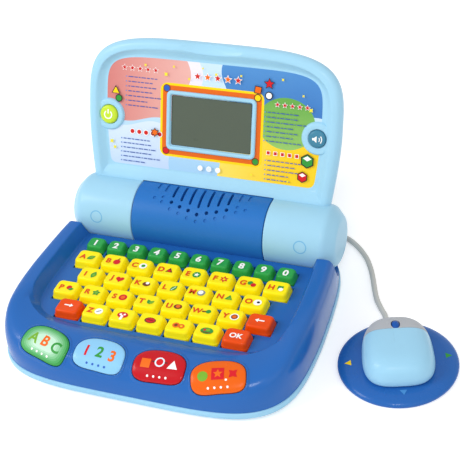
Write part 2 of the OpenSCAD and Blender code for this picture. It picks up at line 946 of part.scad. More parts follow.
// Route of the mouse cord along the floor, from the case's gland to the mouse base
cord_route = [
    [70, 105, 14], [70, 112, 14], [70.5, 118, 13], [73, 123.5, 10], [77, 128, 6], [83, 131.5, 3],
    [90, 133, 2.3], [97, 132.5, 2.3], [104, 130.5, 2.3], [111, 127, 2.3], [118, 121.5, 2.3],
    [124, 115.5, 2.3], [129, 109.5, 2.3], [133.5, 103, 2.3], [139.5, 91.5, 2.3], [144.5, 79.5, 2.3],
    [149, 67.5, 2.3], [154, 56, 2.3], [160.5, 45.5, 2.3], [164.5, 40, 2.4], [166, 36.5, 3.2],
    [167.4, 33, 5], [168.6, 29.8, 7], [169.6, 27.2, 8.3], [170.7, 24.9, 8.9], [171.8, 21.7, 8.9],
    [173, 18.2, 8.9]];

module mouse_cord() {
    color(cord_grey) tube(cord_route, cord_d / 2, 8);
}

function unit(v) = v / norm(v);
function tangent(path, i) = unit(path[min(i + 1, len(path) - 1)] - path[max(i - 1, 0)]);

// Round tube of flat facets, swept along a path
module tube(path, r, sides) {
    rings = [for (i = [0 : len(path) - 1])
        let (d = tangent(path, i), side = unit(cross(d, [0, 0, 1])), up = cross(side, d))
        [for (k = [0 : sides - 1]) path[i] + r * (cos(360 * k / sides) * side + sin(360 * k / sides) * up)]];
    loft(rings);
}

// ---------------------------------------------------------------- assembly

upper_case();
lower_case();
battery_door();
circuit_board();
speaker();
lid_front();
lid_back();
display();
power_button();
volume_button();
mode_button_1();
mode_button_2();
mode_button_3();
mode_button_4();
mouse_base();
mouse_carriage();
mouse_shell();
mouse_button();
mouse_wheel();
mouse_cord();
key_1();
key_2();
key_3();
key_4();
key_5();
key_6();
key_7();
key_8();
key_9();
key_0();
key_a();
key_b();
key_c();
key_d();
key_e();
key_f();
key_g();
key_h();
key_i();
key_j();
key_k();
key_l();
key_m();
key_n();
key_o();
key_p();
key_r();
key_s();
key_t();
key_u();
key_w();
key_y();
key_back();
key_repeat();
key_z();
key_picture_1();
key_picture_2();
key_picture_3();
key_picture_4();
key_ok();
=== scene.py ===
import math

import bmesh
import bpy
from mathutils import Matrix, Vector
from mathutils.bvhtree import BVHTree


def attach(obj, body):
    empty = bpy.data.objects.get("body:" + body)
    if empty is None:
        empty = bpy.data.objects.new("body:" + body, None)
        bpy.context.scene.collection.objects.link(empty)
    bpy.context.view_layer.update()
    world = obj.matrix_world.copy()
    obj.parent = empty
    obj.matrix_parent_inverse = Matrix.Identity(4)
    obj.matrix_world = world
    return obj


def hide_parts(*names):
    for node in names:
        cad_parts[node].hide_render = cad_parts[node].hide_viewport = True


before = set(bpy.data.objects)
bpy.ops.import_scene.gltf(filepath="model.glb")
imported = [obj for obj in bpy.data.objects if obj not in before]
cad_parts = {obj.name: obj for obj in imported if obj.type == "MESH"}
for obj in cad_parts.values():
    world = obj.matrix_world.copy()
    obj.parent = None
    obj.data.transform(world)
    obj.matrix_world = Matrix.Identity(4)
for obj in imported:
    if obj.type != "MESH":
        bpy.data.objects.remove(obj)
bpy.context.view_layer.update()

# The script's own unit is the millimetre: meshes are scaled by MM as they are made.
MM = 0.001
FULL = 2 * math.pi
rad = math.radians


def new_object(name, data):
    obj = bpy.data.objects.new(name, data)
    bpy.context.scene.collection.objects.link(obj)
    return obj


def turn(degrees, axis):
    return Matrix.Rotation(rad(degrees), 4, axis)


# ---- camera

VIEW_AZIMUTH, VIEW_HEIGHT, VIEW_ROLL, VIEW_LENS = 24.535, 37.286, -6.932, 94.98
VIEW_AIM, VIEW_DISTANCE = Vector((17.282, 83.308, 30)), 1045.568


def make_camera():
    cam = bpy.data.cameras.new("camera")
    cam.lens, cam.sensor_width, cam.clip_end = VIEW_LENS, 36, 20
    obj = new_object("camera", cam)
    obj.matrix_world = (
        Matrix.Translation(VIEW_AIM * MM) @ turn(VIEW_AZIMUTH, "Z") @ turn(90 - VIEW_HEIGHT, "X")
        @ turn(VIEW_ROLL, "Z") @ Matrix.Translation((0, 0, VIEW_DISTANCE * MM)))
    bpy.context.scene.camera = obj


make_camera()


# ---- materials

SPECULAR = 0.18         # level for every plastic
COAT_SHARE = 0.3        # how much of the stated coat is laid on


def srgb(r, g, b):
    def f(v):
        v /= 255
        return v / 12.92 if v <= 0.04045 else ((v + 0.055) / 1.055) ** 2.4
    return (f(r), f(g), f(b), 1)


def wire(nt, value, socket):
    """Sets a socket's value, or links it where the value is another node's socket."""
    if isinstance(value, bpy.types.NodeSocket):
        nt.links.new(value, socket)
    else:
        socket.default_value = value


def wire_all(nt, n, values):
    for name, value in values.items():
        wire(nt, value, n.inputs[name])


def node(nt, kind, values):
    """A new node with its inputs set; gives the node's first output."""
    n = nt.nodes.new("ShaderNode" + kind)
    wire_all(nt, n, values)
    return n.outputs[0]


SIGNS = {"+": "ADD", "-": "SUBTRACT", "*": "MULTIPLY", "/": "DIVIDE", "<": "LESS_THAN"}


def math_node(nt, op, a, b=0.0):
    """A sum of two values, by its sign or by Blender's name for it."""
    n = nt.nodes.new("ShaderNodeMath")
    n.operation = SIGNS.get(op, op)
    wire(nt, a, n.inputs[0])
    wire(nt, b, n.inputs[1])
    return n.outputs[0]


def mix_node(nt, factor, a, b):
    n = nt.nodes.new("ShaderNodeMix")
    n.data_type = "RGBA"
    wire_all(nt, n, {"Factor": factor, "A": a, "B": b})
    return n.outputs["Result"]


def plastic(name, rgb, rough=0.25, coat=0.0, grain=0.0, metal=0.0, vary=0.05, bump=0.02):
    """Moulded plastic: a slow drift of colour, slight waviness of the gloss, and a fine grain."""
    mat = bpy.data.materials.new(name)
    mat.use_nodes = True
    nt = mat.node_tree
    on_object = nt.nodes.new("ShaderNodeTexCoord").outputs["Object"]

    def noise(scale, detail):
        return node(nt, "TexNoise", {"Scale": scale, "Detail": detail, "Vector": on_object})

    drift = node(nt, "MapRange", {"To Min": 1 - vary, "To Max": 1 + vary, "Value": noise(22, 3)})
    tint = node(nt, "HueSaturation", {"Color": srgb(*rgb), "Value": drift})
    gloss = node(nt, "MapRange", {"To Min": max(0.02, rough * 0.8), "To Max": rough * 1.25,
                                  "Value": noise(90, 5)})
    relief = node(nt, "Bump", {"Strength": bump, "Distance": 0.001, "Height": noise(260, 2)})
    if grain:
        relief = node(nt, "Bump", {"Strength": grain, "Distance": 0.0004,
                                   "Height": noise(2400, 1), "Normal": relief})
    wire_all(nt, nt.nodes["Principled BSDF"], {
        "Metallic": metal, "Coat Weight": COAT_SHARE * coat, "Coat Roughness": 0.06, "IOR": 1.5,
        "Specular IOR Level": SPECULAR, "Base Color": tint, "Roughness": gloss, "Normal": relief})
    return mat


# Colour as it is seen, roughness, coat, grain, metal and drift of colour.
PLASTICS = {
    "deep_blue": ((34, 100, 178), 0.22, 0.35),
    # The barrel's blue is the case's own blue painted lighter: painted light where the barrel's
    # round top catches the lamps.
    "barrel_blue_painted_lit": ((38, 112, 190), 0.34, 0.1, 0.15),
    "light_blue": ((160, 209, 234), 0.30, 0.2),
    "rim_blue": ((156, 207, 234), 0.32, 0.15),
    "key_green": ((44, 158, 72), 0.30, 0.2),
    "key_yellow": ((255, 235, 12), 0.30, 0.2),
    "key_orange": ((232, 74, 2), 0.30, 0.2),
    "mint": ((60, 158, 76), 0.28, 0.25),
    "sky": ((140, 200, 238), 0.28, 0.25),
    "red": ((192, 12, 26), 0.26, 0.3),
    "tangerine": ((232, 98, 6), 0.28, 0.25),
    "lime": ((196, 224, 56), 0.30, 0.2),
    "slate": ((66, 130, 158), 0.30, 0.2),
    "screen": ((86, 96, 84), 0.30, 0, 0, 0, 0.04),
    "lcd_edge": ((24, 30, 34), 0.35),
    "light_mark": ((116, 184, 226), 0.35),
    "board": ((22, 92, 48), 0.45),
    "steel": ((150, 152, 156), 0.40, 0, 0, 0.9),
    "grey": ((178, 181, 186), 0.45, 0, 0.2),
    "mouse_blue": ((156, 207, 234), 0.30, 0.2),
    "disc_blue": ((34, 98, 176), 0.26, 0.3),
    "wheel_blue": ((24, 84, 168), 0.45),
    "cord_grey": ((198, 199, 194), 0.50, 0, 0.2),
    "shadow_gap": ((14, 30, 60), 0.6),
}
M = {name: plastic(name, *row) for name, row in PLASTICS.items()}

INKS = {
    "white": (250, 250, 248), "red": (214, 30, 40), "orange": (236, 108, 26),
    "green": (52, 150, 60), "leaf": (120, 176, 50), "blue": (44, 96, 190),
    "yellow": (252, 214, 20), "pale": (226, 238, 250), "grey": (130, 140, 150),
    "brown": (120, 60, 30), "letter": (226, 78, 22), "dark": (40, 38, 40),
    "frame": (226, 104, 28), "line": (60, 92, 170), "ring": (110, 140, 200),
    "head": (206, 36, 34), "spark": (240, 226, 60), "arrow_blue": (72, 140, 204),
}
GLOW_STEPS = 6          # nested prints that lighten the mint button towards its middle
for k in range(GLOW_STEPS):
    INKS["mint_%d" % k] = [int(lo + (hi - lo) * (k + 1) / GLOW_STEPS)
                           for lo, hi in ((60, 196), (158, 232), (76, 208))]
INK = {name: plastic("ink_" + name, rgb, 0.35, vary=0.03, bump=0.01)
       for name, rgb in INKS.items()}


# ---- mesh helpers

def mesh_object(name, verts, faces):
    me = bpy.data.meshes.new(name)
    me.from_pydata([tuple(c * MM for c in v) for v in verts], [], faces)
    return new_object(name, me)


def finish(obj, body, angle, stands_for):
    """Shades a piece, gives it to its body and puts it in the place of a node."""
    for p in obj.data.polygons:
        p.use_smooth = True
    obj.data.set_sharp_from_angle(angle=rad(angle))
    if body:
        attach(obj, body)
    if stands_for:
        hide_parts(stands_for)
    return obj


def add(name, shape, mat, body=None, angle=35, stands_for=None):
    """A piece from a shape, which is a pair of vertices and faces."""
    obj = mesh_object(name, *shape)
    obj.data.validate()
    obj.data.materials.append(M[mat])
    return finish(obj, body, angle, stands_for)


def carved(name, shape, mat, cutters, body, angle=35, stands_for=None):
    """A piece with closed shapes cut out of it."""
    obj = add(name, shape, mat)
    tools = [add("cutter", cutter, "shadow_gap") for cutter in cutters]
    for tool in tools:
        m = obj.modifiers.new("cut", "BOOLEAN")
        m.operation = "DIFFERENCE"
        m.solver = "EXACT"
        m.object = tool
    dg = bpy.context.evaluated_depsgraph_get()
    me = bpy.data.meshes.new_from_object(obj.evaluated_get(dg))
    obj.modifiers.clear()
    whole, obj.data = obj.data, me
    bpy.data.meshes.remove(whole)
    for tool in tools:
        bpy.data.objects.remove(tool)
    return finish(obj, body, angle, stands_for)


def loft(rings, caps=True):
    """Skin through rings of as many points each."""
    n = len(rings[0])
    verts = [p for r in rings for p in r]
    faces = []
    for j in range(len(rings) - 1):
        for i in range(n):
            k = (i + 1) % n
            faces.append((j * n + i, j * n + k, (j + 1) * n + k, (j + 1) * n + i))
    if caps:
        faces.append(tuple(range(n - 1, -1, -1)))
        faces.append(tuple((len(rings) - 1) * n + i for i in range(n)))
    return verts, faces


def join(shapes):
    verts, faces = [], []
    for v, f in shapes:
        o = len(verts)
        verts += v
        faces += [tuple(i + o for i in q) for q in f]
    return verts, faces


def box(x0, x1, y0, y1, z0, z1):
    v = [(x, y, z) for z in (z0, z1) for x, y in ((x0, y0), (x1, y0), (x1, y1), (x0, y1))]
    f = [(3, 2, 1, 0), (4, 5, 6, 7), (0, 1, 5, 4), (1, 2, 6, 5), (2, 3, 7, 6), (3, 0, 4, 7)]
    return v, f


def place(matrix, verts):
    return [matrix @ Vector(v) for v in verts]


def level(matrix, outline, z):
    """A flat outline as a ring at one height of a frame."""
    return place(matrix, [(x, y, z) for x, y in outline])


def prism(matrix, outline, low, high):
    return loft([level(matrix, outline, low), level(matrix, outline, high)])


def disc(cx, cy, r, ry=None, n=28):
    ry = ry or r
    return [(cx + r * math.cos(FULL * i / n), cy + ry * math.sin(FULL * i / n)) for i in range(n)]


def rounded(w, d, r, n=8, cy=0.0):
    """Rectangle with round corners."""
    out = []
    for i, (sx, sy) in enumerate(((1, 1), (-1, 1), (-1, -1), (1, -1))):
        for k in range(n + 1):
            a = rad(90 * i + 90 * k / n)
            x, y = sx * (w / 2 - r), sy * (d / 2 - r)
            out.append((x + r * math.cos(a), y + r * math.sin(a) + cy))
    return out


def fillet(points, cuts, n=5):
    """Polyline with some corners rounded: cuts[i] is how far from corner i the rounding starts."""
    out = []
    for i, p in enumerate(points):
        p, c = Vector(p), cuts.get(i, 0)
        if not c:
            out.append(p)
            continue
        a = p + (Vector(points[i - 1]) - p).normalized() * c
        b = p + (Vector(points[i + 1]) - p).normalized() * c
        for k in range(n + 1):
            t = k / n
            out.append(a * (1 - t) ** 2 + p * 2 * t * (1 - t) + b * t * t)
    return out


def lerp(a, b, s):
    return a + (b - a) * s


def spline(points, n=3):
    """Smooth curve through control points of any number of values, as a Catmull-Rom spline."""
    out = []
    ends = [points[0], *points, points[-1]]
    for near in zip(ends, ends[1:], ends[2:], ends[3:]):
        for t in (k / n for k in range(n)):
            out.append(tuple(0.5 * (2 * b + (c - a) * t + (2 * a - 5 * b + 4 * c - d) * t * t
                                    + (3 * b - a - 3 * c + d) * t ** 3)
                             for a, b, c, d in zip(*near)))
    return out + [points[-1]]


def along(points, shares):
    """Where given shares of a polyline's length lie, each as a segment and the share of it."""
    s = [0]
    for a, b in zip(points, points[1:]):
        s.append(s[-1] + math.hypot(b[0] - a[0], b[1] - a[1]))
    out, j = [], 0
    for share in shares:
        want = s[-1] * share
        while j < len(s) - 2 and s[j + 1] < want:
            j += 1
        out.append((j, 0 if s[j + 1] == s[j] else (want - s[j]) / (s[j + 1] - s[j])))
    return out


# ---- cord

CORD_R = 2.25
CORD_ROUTE = [
    (70, 105, 14), (70, 112, 14), (70.5, 118, 13), (73, 123.5, 10), (77, 128, 6), (83, 131.5, 3),
    (90, 133, 2.4), (97, 132.5, 2.3), (104, 130.5, 2.3), (111, 127, 2.3), (118, 121.5, 2.3),
    (124, 115.5, 2.3), (129, 109.5, 2.3), (133.5, 103, 2.3), (139.5, 91.5, 2.3), (144.5, 79.5, 2.3),
    (149, 67.5, 2.3), (154, 56, 2.3), (160.5, 45.5, 2.3), (164.5, 40, 2.4), (166, 36.5, 3.2),
    (167.4, 33, 5), (168.6, 29.8, 7), (169.6, 27.2, 8.3), (170.7, 24.9, 8.9), (171.8, 21.7, 8.9),
    (173, 18.2, 8.9)]
RELIEF_R, RELIEF_END_R, RELIEF_RIDGE = 3.7, 2.5, 0.22
RELIEF_TO_X, RELIEF_TO_Y = 74, 123      # the ribbed sleeve at the case ends here


def sweep(path, radii, n=24):
    """Tube along a path, with its own radius at each point."""
    rings, side = [], Vector((1, 0, 0))
    for i, (p, r) in enumerate(zip(path, radii)):
        ahead = (path[min(i + 1, len(path) - 1)] - path[max(i - 1, 0)]).normalized()
        side = (side - ahead * side.dot(ahead)).normalized()
        up = ahead.cross(side)
        rings.append([tuple(p + r * (side * c + up * s)) for c, s in disc(0, 0, 1, n=n)])
    return loft(rings)


def mouse_cord():
    path = [Vector(p) for p in spline(CORD_ROUTE, 6)]
    cord = add("mouse_cord_sheath", sweep(path, [CORD_R] * len(path)), "cord_grey", "case", 60,
               "mouse_cord")
    grip = [p for p in path if p.y < RELIEF_TO_Y and p.x < RELIEF_TO_X]
    radii = []
    for i in range(len(grip)):
        s = i / (len(grip) - 1)
        ridge = RELIEF_RIDGE if (i // 2) % 2 == 0 else 0.0
        radii.append(lerp(RELIEF_R, RELIEF_END_R, s) + ridge * (1 - s))
    relief = add("cord_relief", sweep(grip, radii), "cord_grey", "case", 40)


mouse_cord()


# ---- the case's forms

HALF_W, FRONT, BACK, SEAM, CHEEK, DECK, FLOOR = 127, 105, 107, 8, 43, 35.5, 30.5
AX_Y, AX_Z, BAR_R, BAR_MID, BAR_END, TILT = 78, 41, 29, 59, 119, 21
INSIDE = 0.1            # how far the scene's outline stays inside the solids'
# Half width, front, back, squareness in front and taper of the outlines on the deck.
CREST = (116, 74, BACK - 9, 3.5, 0.055)
RIDGE = (110.5, 64, 85, 5, 0.05)
BED = (105.5, 62, 83, 5, 0.05)
DRUM_GAP = 0.6          # between the lid's drums and what they turn in


def smooth(s):
    s = max(0.0, min(1.0, s))
    return s * s * (3 - 2 * s)


def root(v, n):
    return math.copysign(abs(v) ** (2 / n), v)


def squircle(a, b, n, t):
    return a * root(math.cos(t), n), b * root(math.sin(t), n)


def case_point(t, hw, front, back, nf, taper):
    """Point of a plan outline with squarer corners behind, which narrows towards the barrel."""
    x, y = squircle(hw, front, nf, t) if math.sin(t) < 0 else squircle(hw, back, 5, t)
    return x * (1 - taper * max(0, (y + 15) / 122) ** 1.3), y


def wall_point(t, g=0):
    return case_point(t, HALF_W - INSIDE - g, FRONT - INSIDE - g, BACK - g, 4.4, 0.075)


def crest_height(y):
    return lerp(DECK, CHEEK, smooth((y + 72) / 36))


def ridge_height(y):
    return lerp(FLOOR + 1.5, CHEEK - 0.4, smooth((y + 64) / 30))


def wall_at(t, a):
    """Point on the bulging wall, from the seam (a = 0) to the crest (a = a quarter turn)."""
    m = 2.5 + 1.5 * abs(math.cos(t))
    h = 1 - math.cos(a) ** (2 / m) if a < math.pi / 2 - 1e-9 else 1
    v = math.sin(a) ** (2 / m)
    o, c = wall_point(t), case_point(t, *CREST)
    return lerp(o[0], c[0], h), lerp(o[1], c[1], h), lerp(SEAM, crest_height(c[1]), v)


def even_angles(n, fine=4000):
    """Ring angles spread so that points lie evenly along the outline."""
    ts = [FULL * i / fine for i in range(fine + 1)]
    return [lerp(ts[j], ts[j + 1], f)
            for j, f in along([wall_point(t) for t in ts], [(i + 0.5) / n for i in range(n)])]


CASE_T = even_angles(260)
WALL_STEPS = 22


def case_rings():
    """Rings up the wall, over the crest and down into the key bed."""
    cols = []
    for t in CASE_T:
        wall = [wall_at(t, math.pi / 2 * i / WALL_STEPS) for i in range(WALL_STEPS + 1)]
        rx, ry = case_point(t, *RIDGE)
        bx, by = case_point(t, *BED)
        rest = [wall[-1], (rx, ry, ridge_height(ry)), (bx, by, FLOOR), (bx * 0.9, by * 0.9, FLOOR)]
        cols.append([Vector(p) for p in wall] + fillet(rest, {1: 1.5, 2: 1.2})[1:-1])
    return [[c[j] for c in cols] for j in range(len(cols[0]))]


DECK_SHAPE = loft(case_rings())

KEY_LOW, KEY_TOP, PITCH, ROW_P, ROW1, NUM_Y, NUM_P = 24, 37.5, 24, 20.4, 12.8, 32.2, 19
LETTER, NUMBER, KEY_GAP = (22, 18), (16.8, 15), 0.3
ROWS = [["a", "b", "c", "d", "e", "f", "g", "h"], ["i", "j", "k", "l", "m", "n", "o"],
        ["p", "r", "s", "t", "u", "w", "y", "back"],
        ["repeat", "z", "picture_1", "picture_2", "picture_3", "picture_4", "ok"]]
STARTS = [-3.5, -3, -3.5, -3]
KEYS = [("key_" + d, ((i - 4.5) * NUM_P, NUM_Y), NUMBER, "key_green")
        for i, d in enumerate("1234567890")]
for r, row in enumerate(ROWS):
    for c, n in enumerate(row):
        tint = "key_orange" if n in ("back", "repeat", "ok") else "key_yellow"
        KEYS.append(("key_" + n, ((STARTS[r] + c) * PITCH, ROW1 - r * ROW_P), LETTER, tint))

# Place and turn of each mode button on the sloping front.
MODE = [(-72.5, -90, 31.9, 15), (-25.1, -91.5, 32.8, 3),
        (25.1, -91.5, 32.8, -3), (72.5, -90, 31.9, -15)]
MODE_W, MODE_D, MODE_SLOPE, MODE_GAP = 42, 26, 28, 0.4


def mode_outline(grow, n=96):
    """Rounded outline that sags at both ends."""
    out = []
    for i in range(n):
        x, y = squircle(MODE_W / 2 + grow, MODE_D / 2 + grow, 3, FULL * (i + 0.5) / n)
        out.append((x, y - 0.005 * x * x + 1))
    return out


def mode_frame(i):
    x, y, z, yaw = MODE[i]
    return Matrix.Translation((x, y, z)) @ turn(MODE_SLOPE, "X") @ turn(-yaw, "Z")


def turned(rows, n=96, y=AX_Y, z=AX_Z):
    """Closed surface round a line along X, from (radius, x) rows."""
    return loft([[(x, y + c, z + s) for c, s in disc(0, 0, r, n=n)] for r, x in rows])


def upper_case():
    keys = []
    for _, (x, y), (w, d), _ in KEYS:
        half_w, half_d = w / 2 + KEY_GAP, d / 2 + KEY_GAP
        keys.append(box(x - half_w, x + half_w, y - half_d, y + half_d, 20, 45))
    modes = [prism(mode_frame(i), mode_outline(MODE_GAP), -11, 12) for i in range(4)]
    inner, outer = BAR_MID + 0.02, 140
    drum_room = [turned([(BAR_R + DRUM_GAP, x0), (BAR_R + DRUM_GAP, x1)])
                 for x0, x1 in ((inner, outer), (-outer, -inner))]
    behind = [box(inner, 150, AX_Y, 140, 26, 60), box(-150, -inner, AX_Y, 140, 26, 60)]
    carved("case_shell", DECK_SHAPE, "deep_blue",
           [join(shapes) for shapes in (keys, modes, drum_room, behind)], "case", 32, "upper_case")


upper_case()


# ---- barrel, grille and lower case

# Angles up from the front horizontal, for the columns of the grille from its middle outwards.
SLOT_LOW = [59, 63, 67, 72]
HOLE_AT = [47, 51.7, 56, 62]
DIMPLE_AT = [35.3, 39, 44.5, 49.5]
SLOT_HIGH, SLOT_W, COLUMN_P = 101, 2.3, 8.3
SIDE_DIMPLES = ((33.5, 69.5), (33.5, 60), (41, 66))
SIDE_SLOTS = ((33.5, 81), (41, 86))
# Inner and outer radius of what the grille's cutters reach.
THROUGH, DIMPLE, BLIND = (24, 32), (28.2, 32), (28.1, 32)


def around(r, deg, x=0.0):
    """Point on a barrel circle, at an angle up from the front horizontal."""
    a = rad(deg)
    return x, AX_Y - r * math.cos(a), AX_Z + r * math.sin(a)


def round_hole(x, deg, r, depth):
    up = Vector((0, math.sin(rad(deg)), math.cos(rad(deg))))
    return loft([[tuple(Vector(around(rr, deg, x)) + Vector((1, 0, 0)) * u + up * w)
                  for u, w in disc(0, 0, r, n=20)] for rr in depth])


def slot(x, low, depth, n=14):
    """A slot round the barrel with a round lower end."""
    half = SLOT_W / 2
    ang = math.degrees(half / BAR_R)
    ring = []
    for i in range(9):
        a = math.pi + math.pi * i / 8
        ring.append((half * math.cos(a), low + ang + ang * math.sin(a)))
    side = [low + ang + (SLOT_HIGH - low - ang) * i / n for i in range(1, n + 1)]
    ring += [(half, s) for s in side] + [(-half, s) for s in reversed(side)]
    return loft([[around(rr, d, x + u) for u, d in ring] for rr in depth])


def barrel():
    """The barrel's fixed middle, with a fan of slots, round holes and dimples."""
    end = [(BAR_R - 3, BAR_MID), (BAR_R - 0.8, BAR_MID), (BAR_R - 0.2, BAR_MID - 0.2),
           (BAR_R, BAR_MID - 0.7)]
    rows = [(r, -x) for r, x in end] + [(BAR_R, 2 * i - 58) for i in range(59)] + end[::-1]
    grille = []
    for k in range(-3, 4):
        x = COLUMN_P * k
        grille += [slot(x, SLOT_LOW[abs(k)] - 1, THROUGH),
                   round_hole(x, HOLE_AT[abs(k)], 1.65, THROUGH),
                   round_hole(x, DIMPLE_AT[abs(k)], 1.5, DIMPLE)]
    grille += [round_hole(s * x, deg, 1.5, DIMPLE) for x, deg in SIDE_DIMPLES for s in (-1, 1)]
    grille += [slot(s * x, low, BLIND) for s in (-1, 1) for x, low in SIDE_SLOTS]
    # The barrel is painted a lighter blue than the rest of the case, as painted light on its lit
    # top.
    carved("speaker_barrel", turned(rows, 180), "barrel_blue_painted_lit", [join(grille)], "case", 28,
           "upper_case")


def lower_case():
    # How far each ring lies in from the wall's foot, and its height.
    rows = [(2.2, 2), (-0.2, 2.3), (-0.8, 2.8), (-1, 3.6), (-1, 6.8), (-0.85, 7.4), (-0.5, 7.8),
            (0.3, 7.95), (1, 7.6)]
    rim = loft([[(*wall_point(t, g), z) for t in CASE_T] for g, z in rows])
    foot = (9.4, 0), (10, 0.5), (10, 2.4)
    feet = [loft([[(*p, z) for p in disc(x, y, r, n=40)] for r, z in foot])
            for x, y in ((88, -66), (-88, -66), (92, 80), (-92, 80), (0, 0))]
    battery_room = box(-46, 46, 13, 75, -1, 4.6)
    carved("lower_rim", rim, "rim_blue", [battery_room], "case", 35, "lower_case")
    add("feet", join(feet), "rim_blue", "case")


barrel()
lower_case()


# ---- lid

# A mark (u, v) on the lid is u to the right and v up from the hinge's axis, with the lid's own
# height over that plane as the third value.
LID = Matrix.Translation((0, AX_Y, AX_Z)) @ turn(90 - TILT, "X")
LID_W, LID_MID, LID_RISE = 113, 85, 67.3
LCD_W, LCD_H, LCD_Y, LCD_CORNER = 72, 43, 84.2, 1.5
BUTTON_U, BUTTON_V, POWER_R, VOLUME_R = 93.5, 83.3, 8.1, 7.4
BUTTON_HOLE, PANEL_N = 9.25, -0.5
SIDE_STEPS, FOOT_STEPS = 16, 30
DENT_HALF, DENT_R, DENT_N = 20, 12, 13      # the grip in the lid's upper edge


def lid_side(a, y):
    return a - 4.5 * ((LID_MID - y) / 48) ** 1.5


def lid_outline(inset, foot, n=150):
    """Outline of the lid: its arched top, its sides and its straight foot."""
    a, b = LID_W - inset, LID_RISE - inset
    step = (LID_MID - foot) / SIDE_STEPS
    side = [(lid_side(a, LID_MID - k * step), LID_MID - k * step) for k in range(SIDE_STEPS, 0, -1)]
    arc = [squircle(a, b, 4.2 + 0.26 * max(0, inset - 8), math.pi * i / 2000) for i in range(2001)]
    top = [(lerp(arc[j][0], arc[j + 1][0], f), lerp(arc[j][1], arc[j + 1][1], f) + LID_MID)
           for j, f in along(arc, [i / n for i in range(n + 1)])]
    pts = side + top + [(-x, y) for x, y in reversed(side)]
    x0, x1 = pts[-1][0], pts[0][0]
    return pts + [(lerp(x0, x1, k / FOOT_STEPS), foot) for k in range(1, FOOT_STEPS)]


def lid_loft(rows):
    """Skin of lid outlines from (inset, height over the lid's plane, place of the foot) rows."""
    return loft([level(LID, lid_outline(inset, foot), n) for inset, n, foot in rows])


def window_room(reach):
    """What cuts the screen's window to either side of the panel."""
    return prism(LID, rounded(LCD_W, LCD_H, LCD_CORNER, cy=LCD_Y), -reach, reach)


def lid_front():
    rows = [(1.5, -4, 24), (0.0, -3.6, 24)]
    rows += spline([(0, -3.2, 24), (0, -1, 24), (1, 1.4, 24), (3.4, 3.4, 24), (6.6, 4, 24.5),
                    (8.6, 3.5, 30), (11.5, 1.6, 35.5), (14.4, -0.1, 39), (16, PANEL_N, 40)], 5)
    rows += [(20, PANEL_N, 44)]
    barrel_room = turned([(BAR_R + DRUM_GAP, -59.6), (BAR_R + DRUM_GAP, 59.6)], 160)
    holes = [prism(LID, disc(s * BUTTON_U, BUTTON_V, BUTTON_HOLE, n=64), -8, 8) for s in (-1, 1)]
    dent = []
    for k in range(-DENT_HALF, DENT_HALF + 1):
        r = DENT_R * (1 - 0.45 * (k / DENT_HALF) ** 2)
        dent.append(place(LID, [(2 * k, c, s)
                                for c, s in disc(LID_MID + LID_RISE - 3, DENT_N, r, n=90)]))
    carved("lid_frame", lid_loft(rows), "light_blue",
           [barrel_room, window_room(8), join(holes), loft(dent)], "lid", 35, "lid_front")


def drums():
    """The lid's two end drums, each a closed turning on the barrel's axis."""
    gap = BAR_MID + 0.6
    profile = fillet([(8.1, gap), (28.4, gap), (BAR_R, gap + 0.6), (BAR_R, 110), (19.6, BAR_END),
                      (0.4, BAR_END)], {1: 0.4, 2: 0.4, 3: 4, 4: 3}, 6)
    v, f = turned(profile, 120)
    left = [(-x, y, z) for x, y, z in v], [q[::-1] for q in f]
    add("lid_drums", join([(v, f), left]), "light_blue", "lid", 30, "lid_front")


lid_front()
drums()


# ---- prints

def star(cx, cy, r, k=5, inner=0.45, a0=90):
    return [(cx + (r if i % 2 == 0 else r * inner) * math.cos(rad(a0 + 180 * i / k)),
             cy + (r if i % 2 == 0 else r * inner) * math.sin(rad(a0 + 180 * i / k)))
            for i in range(2 * k)]


def poly(cx, cy, r, k, a0=90):
    return [(cx + r * math.cos(rad(a0 + 360 * i / k)), cy + r * math.sin(rad(a0 + 360 * i / k)))
            for i in range(k)]


def heart(cx, cy, r, n=30):
    out = []
    for i in range(n):
        t = FULL * i / n
        x = 16 * math.sin(t) ** 3
        y = 13 * math.cos(t) - 5 * math.cos(2 * t) - 2 * math.cos(3 * t) - math.cos(4 * t)
        out.append((cx + r * x / 16, cy + r * y / 16))
    return out[::-1]


def spun(points, angle, cx=0.0, cy=0.0):
    """Points turned about the origin and moved."""
    c, s = math.cos(rad(angle)), math.sin(rad(angle))
    return [(cx + x * c - y * s, cy + x * s + y * c) for x, y in points]


def leaf(cx, cy, r, angle, n=12):
    half = [(r * (2 * i / n - 1), 0.55 * r * math.sin(math.pi * i / n)) for i in range(n + 1)]
    return spun(half[::-1] + [(x, -y) for x, y in half[1:-1]], angle, cx, cy)


def bar(x0, y0, x1, y1, w):
    """Stroke with softened ends."""
    a, b = Vector((x0, y0)), Vector((x1, y1))
    d = (b - a).normalized() * (w / 2)
    n = Vector((-d.y, d.x))
    return [tuple(p + d * s + n * t) for p, s, t in (
        (a, -0.6, -1), (b, 0.6, -1), (b, 1, -0.4), (b, 1, 0.4),
        (b, 0.6, 1), (a, -0.6, 1), (a, -1, 0.4), (a, -1, -0.4))]


def arc_band(r, w, a0, a1, n=30):
    """An open ring as a strip of quads."""
    v, f = [], []
    for i in range(n + 1):
        a = rad(a0 + (a1 - a0) * i / n)
        v += [(q * math.cos(a), q * math.sin(a)) for q in (r - w / 2, r + w / 2)]
        if i:
            k = 2 * i
            f.append((k - 2, k - 1, k + 1, k))
    return v, f


def band(outer, inner):
    """Flat strip between two outlines of as many points."""
    n = len(outer)
    return outer + inner, [(i, (i + 1) % n, n + (i + 1) % n, n + i) for i in range(n)]


def fan(points):
    """Triangles from the middle, for shapes that a single face would fill wrongly."""
    k = len(points)
    middle = tuple(sum(p[i] for p in points) / k for i in (0, 1))
    return list(points) + [middle], [(i, (i + 1) % k, k) for i in range(k)]


